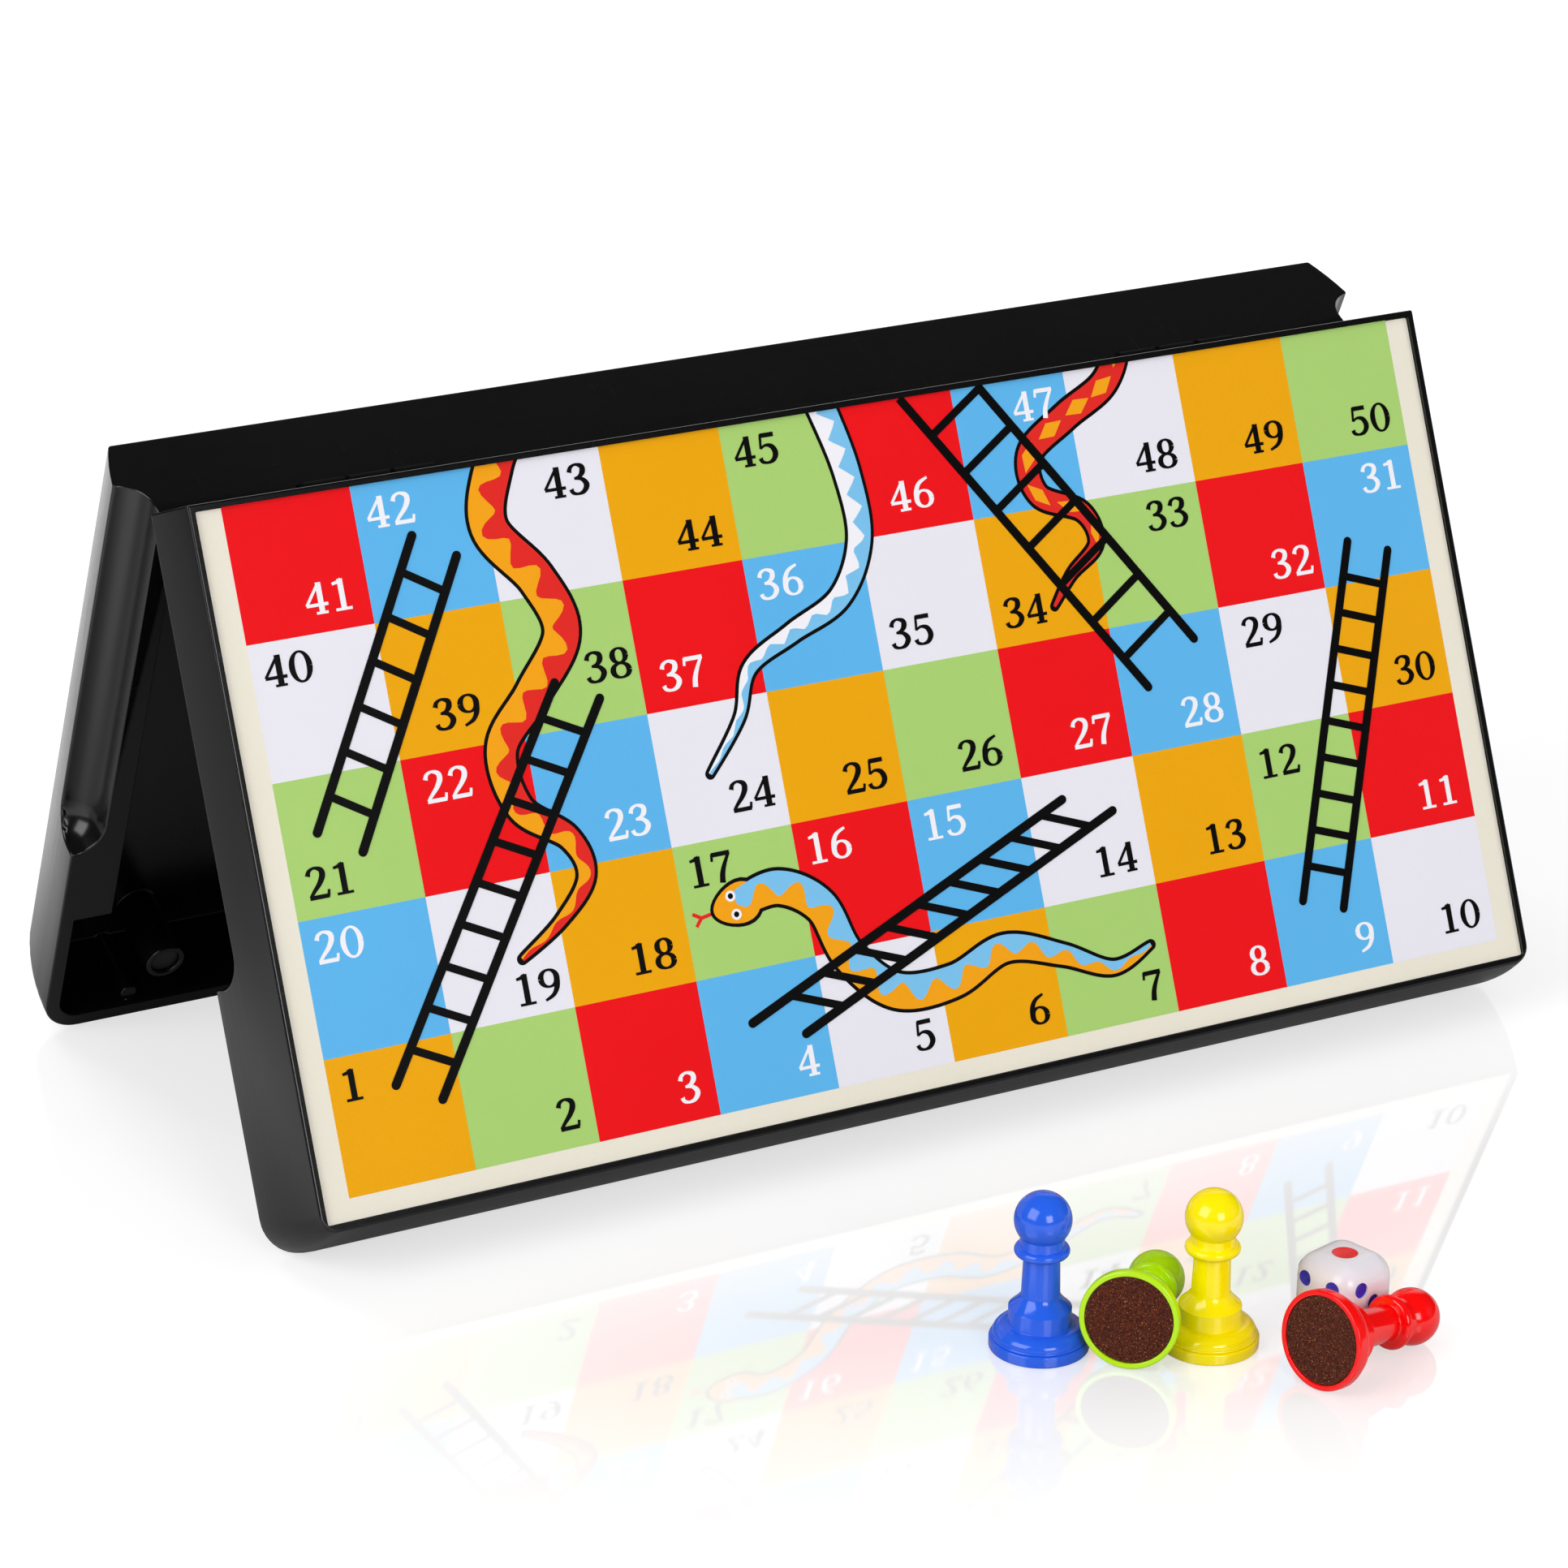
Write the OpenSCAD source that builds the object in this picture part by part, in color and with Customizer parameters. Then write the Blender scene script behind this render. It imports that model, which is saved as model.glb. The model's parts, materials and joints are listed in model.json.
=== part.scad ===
// Folding magnetic board game: two hinged half trays standing as a tent, four pawns and a die.
// The frame has +X along the hinge, -Y towards the player and +Z up, with Z = 0 on the table.
// A tray is drawn as it lies when the board is open flat: hinge axis on X, rim down, playing face up.

/* [Playing grid] */
// Side of one square
square = 18.5; // [16:0.5:22]
// Squares along the hinge
columns = 10; // [8:1:12]
// Squares from the free edge to the hinge on one half
rows = 5; // [4:1:6]
// Printed margin beyond the grid at each short side
side_border = 3.8; // [2:0.1:6]
// Printed margin beyond the grid at the free edge
free_border = 3.05; // [2:0.05:6]

/* [Tray] */
// Depth of one half tray from rim to face
tray_depth = 14.8; // [12:0.1:20]
// Width of the raised lip round the print
lip = 0.9; // [0.6:0.1:1.6]
// How far the walls swell outwards from face to rim
flare = 3; // [1.5:0.1:4]
// Corner radius of the rim at the free edge
corner_r = 5.5; // [4.5:0.1:9]
// Wall thickness at the free edge and beside the pockets
wall = 2.2; // [1.6:0.1:3]
// Thickness of the wall that carries the hinge
hinge_wall = 2; // [1.6:0.1:3]
// Thickness of the plate under the face recess
plate = 1.4; // [1:0.1:2]
// Width of the thick side walls behind the finger scoops
ledge = 8; // [7:0.1:10]
// Distance from the free edge to the end of the thick side walls
ledge_end = 22.7; // [16:0.1:30]
// Flat strips that make up each swelling wall
wall_steps = 8; // [4:1:16]

/* [Finger scoops] */
// Radius of a scoop, also its depth into the side wall
scoop_r = 4.6; // [3:0.1:5]
// Height of the scoop's straight part above the rim
scoop_rise = 2.3; // [1:0.1:4]
// Distance from the free edge to the centre of the scoop's round end
scoop_end = 41.2; // [36:0.1:60]

/* [Face layers] */
// Thickness of the steel sheet
steel_t = 0.3; // [0.2:0.05:0.5]
// Thickness of the printed sheet
print_t = 0.2; // [0.1:0.05:0.4]
// How far the print lies below the lip
print_sink = 0.5; // [0.2:0.05:1]
// Corner radius of the print
print_corner = 0.4; // [0.35:0.05:2.5]
// Gap between a sheet's edge and the recess
sheet_gap = 0.1; // [0.05:0.05:0.3]

/* [Hinge] */
// Angle between the two rims as the tent stands
tent_angle = 47.5; // [20:0.5:90]
// Clearance of rim and hinge wall from the hinge axis
fold_gap = 0.1; // [0.05:0.05:0.3]
// Radius of the wire pins
pin_r = 0.55; // [0.4:0.05:0.8]
// Radial running clearance of a pin
pin_gap = 0.05; // [0.02:0.01:0.09]
// Plastic round a pin
knuckle_wall = 0.7; // [0.5:0.05:1.2]
// Length of one knuckle
knuckle_len = 6; // [4:0.5:9]
// Gap between neighbouring knuckles
knuckle_gap = 0.8; // [0.5:0.1:1.2]
// Radial room round the other half's knuckles
knuckle_room = 0.35; // [0.3:0.05:0.6]
// Distance of each hinge's middle from the short side
hinge_in = 35.2; // [24:0.1:50]

/* [Closing magnets] */
// Distance of a magnet boss from the short side
boss_in = 18.2; // [14:0.1:30]
// Distance of a magnet boss from the free edge
boss_y = 9.5; // [7:0.1:14]
// Radius of a closing magnet
closer_r = 2.1; // [1.5:0.1:3]
// Height of a closing magnet
closer_h = 4; // [2:0.5:6]
// Radial gap round a closing magnet
closer_gap = 0.05; // [0.02:0.01:0.1]
// Plastic round a closing magnet
boss_wall = 0.85; // [0.6:0.05:1.5]
// How far a boss stays below the rim
boss_drop = 0.3; // [0.1:0.1:1]
// How far a closing magnet sits below its boss
closer_drop = 0.8; // [0.2:0.1:2]
// Radius of the small post beside each boss
post_r = 1.3; // [0.8:0.1:1.6]
// Distance of a post from its boss towards the board's side
post_dx = 4.7; // [4.4:0.1:6]
// How far a post stays below the rim
post_drop = 1; // [0.5:0.1:3]

/* [Pawns] */
// Radius of the foot
foot_r = 6.6; // [6:0.05:8]
// Height of the foot's flange
foot_h = 1.6; // [1.2:0.1:2.2]
// Rounding of the flange's upper edge
foot_round = 0.3; // [0.2:0.05:0.6]
// How far the bead above the flange is set in from it
bead_in = 0.25; // [0.1:0.05:0.5]
// Height of the dome's top
dome_top = 3.4; // [3:0.1:4.4]
// Radius of the ring above the dome
ring_r = 4.15; // [3.6:0.05:4.8]
// Height of the ring's upper edge
ring_top = 5.9; // [5.4:0.1:6.6]
// Height where the shoulder runs out into the stem
shoulder_top = 7.8; // [7:0.1:9]
// Stem radius at the shoulder
stem_low_r = 2.55; // [2.2:0.05:3]
// Stem radius under the collar
stem_top_r = 2.4; // [2:0.05:2.8]
// Largest radius of the collar
collar_r = 3.65; // [3.2:0.05:4.2]
// Height of the collar's middle
collar_z = 13.95; // [13:0.05:15]
// Half the thickness of the collar
collar_half = 0.65; // [0.5:0.05:1.2]
// Radius of the ball head
head_r = 3.8; // [3.2:0.01:4.2]
// How far the head sinks into the collar
head_sink = 0.1; // [0.05:0.01:1]
// How much thinner the neck is than the head
neck_in = 0.9; // [0.6:0.05:1.4]
// Width of the rim round the flocked pad
foot_rim = 0.8; // [0.6:0.05:1.4]
// Thickness of the flocked pad
pad_t = 0.5; // [0.3:0.05:0.8]
// How far the pad lies above the foot's edge
pad_sink = 0.15; // [0.05:0.05:0.4]
// Radius of the pawn's magnet
magnet_r = 3.6; // [2.5:0.1:4]
// Height of the pawn's magnet
magnet_h = 2.4; // [1.5:0.1:2.8]
// Gap round the pawn's pad and magnet
insert_gap = 0.05; // [0.02:0.01:0.1]

/* [Die] */
// Edge of the die
die_edge = 10.4; // [9.5:0.1:12]
// Rounding of the die
die_round = 3.2; // [1.5:0.1:3.6]
// Radius of the single spot
one_r = 1.75; // [1.2:0.05:2]
// Radius of the other spots
pip_r = 1.05; // [0.8:0.05:1.1]
// Distance of an outer spot from the middle of its face
pip_step = 2.3; // [2.25:0.05:2.6]
// Depth of a spot's recess
pip_depth = 1; // [0.8:0.05:1.2]
// How far the paint in a spot lies below the die's surface
pip_sink = 0.1; // [0.05:0.05:0.2]

/* [Places on the table] */
// Middle of the green pawn's foot as it lies, from the point below the hinge
green_at = [-13.6, -118.4];
// Way the green pawn's head points
green_heading = 46; // [30:1:60]
// Blue pawn's place beside the green one, in foot radii
blue_step = [-1.067, 1.556];
// Yellow pawn's place beside the green one, in foot radii
yellow_step = [1.97, 0.119];
// Red pawn's foot beside the green one, in foot radii
red_step = [2.864, -2.409];
// Way the red pawn's head points
red_heading = 15; // [0:1:40]
// Distance of the die's middle along the red pawn from its foot
die_along = 15.5; // [10:0.1:18]
// Gap between the die and the red pawn
die_gap = 0.5; // [0.4:0.05:3]

/* [Hidden] */
$fn = 64;
cut = 1;
half_angle = tent_angle / 2;
grid_w = columns * square;
grid_h = rows * square;
print_w = grid_w + 2 * side_border;
print_h = grid_h + free_border;
rim_half_w = print_w / 2 + lip + flare;
tray_h = print_h + 2 * lip + flare;
free_y = -fold_gap - tray_h;
rim_z = fold_gap;
face_z = rim_z + tray_depth;
recess_z = face_z - print_sink - print_t - steel_t;
cavity_top = recess_z - plate;
print_mid_y = -fold_gap - lip - print_h / 2;
swell_r = (tray_depth * tray_depth + flare * flare) / (2 * flare);
hinge_z = -free_y * cos(half_angle) - rim_z * sin(half_angle);

hinge_x = rim_half_w - hinge_in;
knuckle_r = pin_r + pin_gap + knuckle_wall;
knuckle_pitch = knuckle_len + knuckle_gap;
pin_len = 3 * knuckle_len + 2 * knuckle_gap;
// Knuckles of one half: an outer pair on the left hinge and the middle one on the right hinge
own_knuckles = [-hinge_x - knuckle_pitch, -hinge_x + knuckle_pitch, hinge_x];

boss_x = rim_half_w - boss_in;
boss_r = closer_r + closer_gap + boss_wall;
closer_z = rim_z + boss_drop + closer_drop;

bead_r = foot_r - bead_in;
pad_r = foot_r - foot_rim;
neck_z = collar_z + collar_half;
head_z = neck_z + head_r - head_sink;
neck_r = head_r - neck_in;
// From the head's middle to the middle of the flange's rounding: a lying pawn touches the table with both
lie_run = head_z - foot_h + foot_round;
lie_drop = foot_r - foot_round;
lie_tilt = acos((head_r - foot_round) / norm([lie_drop, lie_run])) - atan2(lie_run, lie_drop);
lie_z = head_r + head_z * sin(lie_tilt);

blue_at = green_at + foot_r * blue_step;
yellow_at = green_at + foot_r * yellow_step;
red_at = green_at + foot_r * red_step;
// The die stands behind the red pawn, one face along it
die_back = max(head_r, collar_r) + die_gap + die_edge / 2;
die_at = red_at + die_along * [cos(red_heading), sin(red_heading)]
    + die_back * [-sin(red_heading), cos(red_heading)];

// How far the outer wall is set in from the rim outline at height z above the rim
function swell(z) = swell_r - sqrt(swell_r * swell_r - z * z);

// Points along an arc
function arc(cx, cy, r, from, to, steps = 8) =
    [for (i = [0:steps]) let (a = from + (to - from) * i / steps) [cx + r * cos(a), cy + r * sin(a)]];

// Rounded rectangle about its middle
module round_rect(w, h, r) {
    square([w - 2 * r, h], center = true);
    square([w, h - 2 * r], center = true);
    for (sx = [-1, 1], sy = [-1, 1])
        translate([sx * (w / 2 - r), sy * (h / 2 - r)]) circle(r);
}

// Block with three swelling walls and a straight hinge side, drawn in by inset,
// between two heights over the rim
module swelling_block(inset, hinge_inset, low, top) {
    heights = [for (i = [0:wall_steps]) low + (top - low) * i / wall_steps];
    half_w = rim_half_w - inset;
    round_r = corner_r - inset;
    back_y = -fold_gap - hinge_inset;
    front_y = free_y + inset;
    side_outline = concat(
        [for (z = heights) [half_w - swell(z), z]],
        [for (i = [wall_steps:-1:0]) [-half_w + swell(heights[i]), heights[i]]]
    );
    front_outline = concat(
        [for (z = heights) [front_y + swell(z), z]],
        [[back_y, top], [back_y, low]]
    );
    round_outline = concat(
        [for (z = heights) [round_r - swell(z), z]],
        [[0, top], [0, low]]
    );
    translate([0, 0, rim_z]) {
        translate([0, back_y, 0])
            rotate([90, 0, 0])
                linear_extrude(back_y - front_y - round_r) polygon(side_outline);
        translate([-half_w + round_r, 0, 0])
            rotate([90, 0, 90])
                linear_extrude(2 * (half_w - round_r)) polygon(front_outline);
        for (side = [-1, 1])
            translate([side * (half_w - round_r), front_y + round_r, 0])
                rotate_extrude() polygon(round_outline);
    }
}

// Groove for the fingertips along one short side, open to the hinge wall and the rim
module scoop(side) {
    end_y = free_y + scoop_end;
    centre_z = rim_z + scoop_rise;
    translate([side * rim_half_w, 0, 0]) {
        translate([0, cut, centre_z]) rotate([90, 0, 0]) cylinder(r = scoop_r, h = cut - end_y);
        translate([-scoop_r, end_y, rim_z - cut]) cube([2 * scoop_r, cut - end_y, scoop_rise + cut]);
        translate([0, end_y, centre_z]) sphere(scoop_r);
        translate([0, end_y, rim_z - cut]) cylinder(r = scoop_r, h = scoop_rise + cut);
    }
}

// Inside of a tray: narrow between the thick side walls, wide near the free edge
module tray_hollow() {
    difference() {
        swelling_block(wall, hinge_wall, -cut, cavity_top - rim_z);
        for (side = [-1, 1])
            translate([side * rim_half_w - ledge, free_y + ledge_end, rim_z - 2 * cut])
                cube([2 * ledge, tray_h, tray_depth + 2 * cut]);
    }
}

// Round bosses that hold the closing magnets, each with a small post beside it against the wall
module magnet_bosses() {
    for (side = [-1, 1]) {
        translate([side * boss_x, free_y + boss_y, rim_z + boss_drop])
            difference() {
                cylinder(r = boss_r, h = tray_depth);
                translate([0, 0, -cut])
                    cylinder(r = closer_r + closer_gap, h = cut + closer_drop + closer_h);
            }
        translate([side * (boss_x + post_dx), free_y + wall + post_r, rim_z + post_drop])
            cylinder(r = post_r, h = tray_depth);
    }
}

// Cylinder along the hinge axis about the middle x
module on_axis(x, r, len) {
    translate([x - len / 2, 0, 0]) rotate([0, 90, 0]) cylinder(r = r, h = len);
}

// One moulded half tray, open flat with its free edge towards -Y
module tray() {
    difference() {
        union() {
            difference() {
                swelling_block(0, 0, 0, tray_depth);
                tray_hollow();
                translate([0, print_mid_y, recess_z])
                    linear_extrude(tray_depth) round_rect(print_w, print_h, print_corner);
                for (side = [-1, 1]) scoop(side);
                for (x = own_knuckles)
                    on_axis(-x, knuckle_r + knuckle_room, knuckle_len + knuckle_gap);
            }
            intersection() {
                magnet_bosses();
                swelling_block(wall / 2, hinge_wall / 2, 0, cavity_top - rim_z + plate / 2);
            }
            for (x = own_knuckles) on_axis(x, knuckle_r, knuckle_len);
        }
        for (x = own_knuckles) on_axis(x, pin_r + pin_gap, knuckle_len + cut);
    }
}

// Sheet in the face recess, from height z up
module face_sheet(z, thickness) {
    translate([0, print_mid_y, z])
        linear_extrude(thickness)
            round_rect(print_w - 2 * sheet_gap, print_h - 2 * sheet_gap, print_corner - sheet_gap);
}

module closing_magnets() {
    for (side = [-1, 1])
        translate([side * boss_x, free_y + boss_y, closer_z]) cylinder(r = closer_r, h = closer_h);
}

// Stands the front half up as one side of the tent
module as_front() {
    translate([0, 0, hinge_z]) rotate([90 - half_angle, 0, 0]) children();
}

// Stands the back half up: the front half turned round the vertical
module as_back() {
    rotate([0, 0, 180]) as_front() children();
}

// Outline of a pawn, from the middle of its foot up to the top of its head
function pawn_outline() =
    let (
        edge = 0.25,
        bead = 0.2,
        bead_mid = bead_r - bead,
        dome_z = foot_h + 2 * bead,
        dome_in = ring_r + edge,
        shoulder_r = ring_r - edge / 2,
        steps = 8
    )
    concat(
        [[0, 0]],
        arc(foot_r - edge, edge, edge, -90, 0, 3),
        arc(foot_r - foot_round, foot_h - foot_round, foot_round, 0, 90, 5),
        arc(bead_mid, foot_h + bead, bead, -90, 90, 6),
        [for (i = [1:steps]) let (a = 90 * i / steps) [
            dome_in + (bead_mid - dome_in) * cos(a),
            dome_z + (dome_top - dome_z) * sin(a)
        ]],
        [[ring_r, dome_top], [ring_r, ring_top - edge / 2]],
        [for (i = [0:steps]) let (t = i / steps) [
            stem_low_r + (shoulder_r - stem_low_r) * pow(1 - t, 1.45),
            ring_top + (shoulder_top - ring_top) * t
        ]],
        [[stem_top_r, collar_z - collar_half]],
        arc(collar_r - collar_half, collar_z, collar_half, -90, 90, 8),
        [[neck_r, neck_z]],
        arc(0, head_z, head_r, -acos(neck_r / head_r), 90, 16)
    );

// Turned body with a stepped seat under the foot for the magnet and the pad
module pawn_body() {
    difference() {
        rotate_extrude() polygon(pawn_outline());
        translate([0, 0, -cut]) cylinder(r = pad_r + insert_gap, h = cut + pad_sink + pad_t);
        cylinder(r = magnet_r + insert_gap, h = pad_sink + pad_t + magnet_h);
    }
}

module pawn_magnet() {
    translate([0, 0, pad_sink + pad_t]) cylinder(r = magnet_r, h = magnet_h);
}

module pawn_pad() {
    translate([0, 0, pad_sink]) cylinder(r = pad_r, h = pad_t);
}

// Stands a pawn on the table
module standing(at) {
    translate([at[0], at[1], 0]) children();
}

// Lays a pawn on its side, touching the table with its flange and its head
module lying(at, heading) {
    translate([at[0], at[1], lie_z]) rotate([0, 90 + lie_tilt, heading]) children();
}

// Spots on one face, as steps from its middle: a pair on the diagonal, the other pair,
// the middle, the side pair
function face_spots(count) = concat(
    count >= 2 ? [[-1, 1], [1, -1]] : [],
    count >= 4 ? [[1, 1], [-1, -1]] : [],
    count == 6 ? [[-1, 0], [1, 0]] : [],
    count % 2 == 1 ? [[0, 0]] : []
);

// Turn that brings the top of the die round to the face with this many spots
face_turns = [[0, 0, 0], [0, 90, 0], [90, 0, 0], [-90, 0, 0], [0, -90, 0], [180, 0, 0]];

// Round plugs through the surface of the faces that hold from first to last spots
module spots(first, last) {
    for (count = [first:last])
        rotate(face_turns[count - 1])
            for (p = face_spots(count))
                translate([p[0] * pip_step, p[1] * pip_step, die_edge / 2 - pip_depth])
                    cylinder(r = count == 1 ? one_r : pip_r, h = pip_depth + cut);
}

// Rounded cube, drawn in by inset
module die_cube(inset = 0) {
    corner = die_edge / 2 - die_round;
    hull()
        for (x = [-1, 1], y = [-1, 1], z = [-1, 1])
            translate([x, y, z] * corner) sphere(die_round - inset, $fn = 32);
}

// Paint that fills the spots' recesses nearly to the surface
module paint(first, last) {
    intersection() {
        spots(first, last);
        die_cube(pip_sink);
    }
}

module on_table() {
    translate([die_at[0], die_at[1], die_edge / 2]) rotate([0, 0, red_heading]) children();
}

module front_shell() { color("#1c1d1f") as_front() tray(); }
module back_shell() { color("#1c1d1f") as_back() tray(); }
module front_steel_sheet() { color("silver") as_front() face_sheet(recess_z, steel_t); }
module back_steel_sheet() { color("silver") as_back() face_sheet(recess_z, steel_t); }
module front_print_sheet() { color("ivory") as_front() face_sheet(recess_z + steel_t, print_t); }
module back_print_sheet() { color("ivory") as_back() face_sheet(recess_z + steel_t, print_t); }
module left_hinge_pin() { color("gray") translate([0, 0, hinge_z]) on_axis(-hinge_x, pin_r, pin_len); }
module right_hinge_pin() { color("gray") translate([0, 0, hinge_z]) on_axis(hinge_x, pin_r, pin_len); }
module front_closing_magnets() { color("dimgray") as_front() closing_magnets(); }
module back_closing_magnets() { color("dimgray") as_back() closing_magnets(); }

module blue_pawn_body() { color("#2a5fe0") standing(blue_at) pawn_body(); }
module blue_pawn_magnet() { color("dimgray") standing(blue_at) pawn_magnet(); }
module blue_pawn_pad() { color("#6b3a20") standing(blue_at) pawn_pad(); }
module green_pawn_body() { color("#b4e81c") lying(green_at, green_heading) pawn_body(); }
module green_pawn_magnet() { color("dimgray") lying(green_at, green_heading) pawn_magnet(); }
module green_pawn_pad() { color("#6b3a20") lying(green_at, green_heading) pawn_pad(); }
module yellow_pawn_body() { color("#fff000") standing(yellow_at) pawn_body(); }
module yellow_pawn_magnet() { color("dimgray") standing(yellow_at) pawn_magnet(); }
module yellow_pawn_pad() { color("#6b3a20") standing(yellow_at) pawn_pad(); }
module red_pawn_body() { color("#f01010") lying(red_at, red_heading) pawn_body(); }
module red_pawn_magnet() { color("dimgray") lying(red_at, red_heading) pawn_magnet(); }
module red_pawn_pad() { color("#6b3a20") lying(red_at, red_heading) pawn_pad(); }

module die_body() {
    color("white")
        on_table()
            difference() {
                die_cube();
                spots(1, 6);
            }
}
module die_one_pip() { color("#e01010") on_table() paint(1, 1); }
module die_blue_pips() { color("#2020b0") on_table() paint(2, 6); }

front_shell();
back_shell();
front_steel_sheet();
back_steel_sheet();
front_print_sheet();
back_print_sheet();
left_hinge_pin();
right_hinge_pin();
front_closing_magnets();
back_closing_magnets();
blue_pawn_body();
blue_pawn_magnet();
blue_pawn_pad();
green_pawn_body();
green_pawn_magnet();
green_pawn_pad();
yellow_pawn_body();
yellow_pawn_magnet();
yellow_pawn_pad();
red_pawn_body();
red_pawn_magnet();
red_pawn_pad();
die_body();
die_one_pip();
die_blue_pips();
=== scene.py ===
"""Looks of a folding magnetic snakes and ladders board, its four pawns and its die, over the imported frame."""

import json
import logging
import math
from collections.abc import Mapping, Sequence
from dataclasses import dataclass, field
from enum import Enum
from typing import NamedTuple

import bmesh
import bpy
from mathutils import Matrix, Vector
from mathutils.geometry import delaunay_2d_cdt

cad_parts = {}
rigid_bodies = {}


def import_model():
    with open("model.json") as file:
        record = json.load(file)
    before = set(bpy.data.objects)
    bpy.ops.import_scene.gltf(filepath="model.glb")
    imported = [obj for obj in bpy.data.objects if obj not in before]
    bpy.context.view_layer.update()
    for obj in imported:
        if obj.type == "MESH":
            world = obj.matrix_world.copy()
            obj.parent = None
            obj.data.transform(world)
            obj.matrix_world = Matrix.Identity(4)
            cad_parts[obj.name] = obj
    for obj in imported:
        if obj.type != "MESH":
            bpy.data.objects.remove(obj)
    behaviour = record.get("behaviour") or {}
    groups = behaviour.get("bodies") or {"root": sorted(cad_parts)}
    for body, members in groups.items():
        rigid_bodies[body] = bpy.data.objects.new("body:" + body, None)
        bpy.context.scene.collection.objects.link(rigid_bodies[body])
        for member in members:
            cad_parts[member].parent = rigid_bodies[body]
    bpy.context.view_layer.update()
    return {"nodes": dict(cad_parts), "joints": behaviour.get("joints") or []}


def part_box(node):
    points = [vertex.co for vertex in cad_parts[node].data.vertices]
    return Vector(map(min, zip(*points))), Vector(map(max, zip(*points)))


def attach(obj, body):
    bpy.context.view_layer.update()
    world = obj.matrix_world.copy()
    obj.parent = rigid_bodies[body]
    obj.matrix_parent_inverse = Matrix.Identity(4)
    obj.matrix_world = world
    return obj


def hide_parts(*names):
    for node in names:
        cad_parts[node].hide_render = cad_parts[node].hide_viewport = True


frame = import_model()

logging.basicConfig(level=logging.INFO, format="%(message)s")
LOG = logging.getLogger("board")

MM = 0.001
Colour = tuple[float, float, float]
Point = tuple[float, float]


def screen_colour(red: int, green: int, blue: int) -> Colour:
    """Turns screen values from 0 to 255 into linear colour.

    Args:
        red: Red screen value.
        green: Green screen value.
        blue: Blue screen value.

    Returns:
        The three linear values.
    """

    def linear(value: int) -> float:
        """Undoes the screen's curve for one value."""
        share = value / 255
        return share / 12.92 if share <= 0.04045 else ((share + 0.055) / 1.055) ** 2.4

    return linear(red), linear(green), linear(blue)


class SocketKind(Enum):
    """Types of the named inputs and outputs of a node group."""

    FLOAT = "NodeSocketFloat"
    INT = "NodeSocketInt"
    BOOL = "NodeSocketBool"
    VECTOR = "NodeSocketVector"
    COLOUR = "NodeSocketColor"
    GEOMETRY = "NodeSocketGeometry"
    MATERIAL = "NodeSocketMaterial"
    COLLECTION = "NodeSocketCollection"


class TreeKind(Enum):
    """Kinds of node group that the script builds."""

    SHADER = "ShaderNodeTree"
    GEOMETRY = "GeometryNodeTree"


@dataclass
class NodeKit:
    """Adds nodes to one tree and joins them."""

    tree: bpy.types.NodeTree

    def add(
        self, kind: str, feeds: Mapping[str | int, object] | None = None, **settings: object
    ) -> bpy.types.Node:
        """Adds one node.

        Args:
            kind: Blender's name of the node type.
            feeds: A socket or a plain value for each input, by the input's name or number.
            **settings: The node's own properties.

        Returns:
            The new node.
        """
        node = self.tree.nodes.new(kind)
        for name, value in settings.items():
            setattr(node, name, value)
        for key, value in (feeds or {}).items():
            if isinstance(value, bpy.types.NodeSocket):
                self.tree.links.new(value, node.inputs[key])
            else:
                node.inputs[key].default_value = value
        return node

    def math(self, operation: str, *values: object) -> bpy.types.NodeSocket:
        """Adds a Math node on sockets or numbers and returns its result."""
        return self.add("ShaderNodeMath", dict(enumerate(values)), operation=operation).outputs[0]

    def vector(self, operation: str, *values: object) -> bpy.types.NodeSocket:
        """Adds a Vector Math node and returns its vector, or its number where it gives one."""
        node = self.add("ShaderNodeVectorMath", dict(enumerate(values)), operation=operation)
        return node.outputs["Value" if operation in {"LENGTH", "DISTANCE", "DOT_PRODUCT"} else "Vector"]

    def xyz(self, x: object = 0.0, y: object = 0.0, z: object = 0.0) -> bpy.types.NodeSocket:
        """Joins three sockets or numbers into a vector."""
        return self.add("ShaderNodeCombineXYZ", {0: x, 1: y, 2: z}).outputs[0]

    def half(self, vector: object) -> bpy.types.NodeSocket:
        """Halves a vector."""
        return self.vector("MULTIPLY", vector, (0.5, 0.5, 0.5))

    def ramp(
        self, value: object, reach: Point, low: float = 0.0, high: float = 1.0, smooth: bool = False
    ) -> bpy.types.NodeSocket:
        """Runs from low to high while a value crosses a reach.

        Args:
            value: Socket of the value.
            reach: Where the run starts and where it ends.
            low: Result before the reach.
            high: Result after it.
            smooth: Whether the run eases in and out.

        Returns:
            The result's socket.
        """
        feeds = {0: value, 1: reach[0], 2: reach[1], 3: low, 4: high}
        curve = "SMOOTHSTEP" if smooth else "LINEAR"
        return self.add("ShaderNodeMapRange", feeds, interpolation_type=curve).outputs[0]

    def noise(
        self, place: object, scale: object, detail: float, roughness: float = 0.5
    ) -> bpy.types.NodeSocket:
        """Adds a noise texture and returns its value."""
        feeds = {"Vector": place, "Scale": scale, "Detail": detail, "Roughness": roughness}
        return self.add("ShaderNodeTexNoise", feeds).outputs[0]

    def tint(self, share: object, first: object, second: object, blend: str = "MIX") -> bpy.types.NodeSocket:
        """Mixes two colours and returns the result."""
        feeds = {0: share, 6: first, 7: second}
        return self.add("ShaderNodeMix", feeds, data_type="RGBA", blend_type=blend).outputs[2]

    def join(self, *parts: bpy.types.NodeSocket) -> bpy.types.NodeSocket:
        """Joins several geometries into one."""
        node = self.add("GeometryNodeJoinGeometry")
        for part in parts:
            self.tree.links.new(part, node.inputs[0])
        return node.outputs[0]


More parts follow.
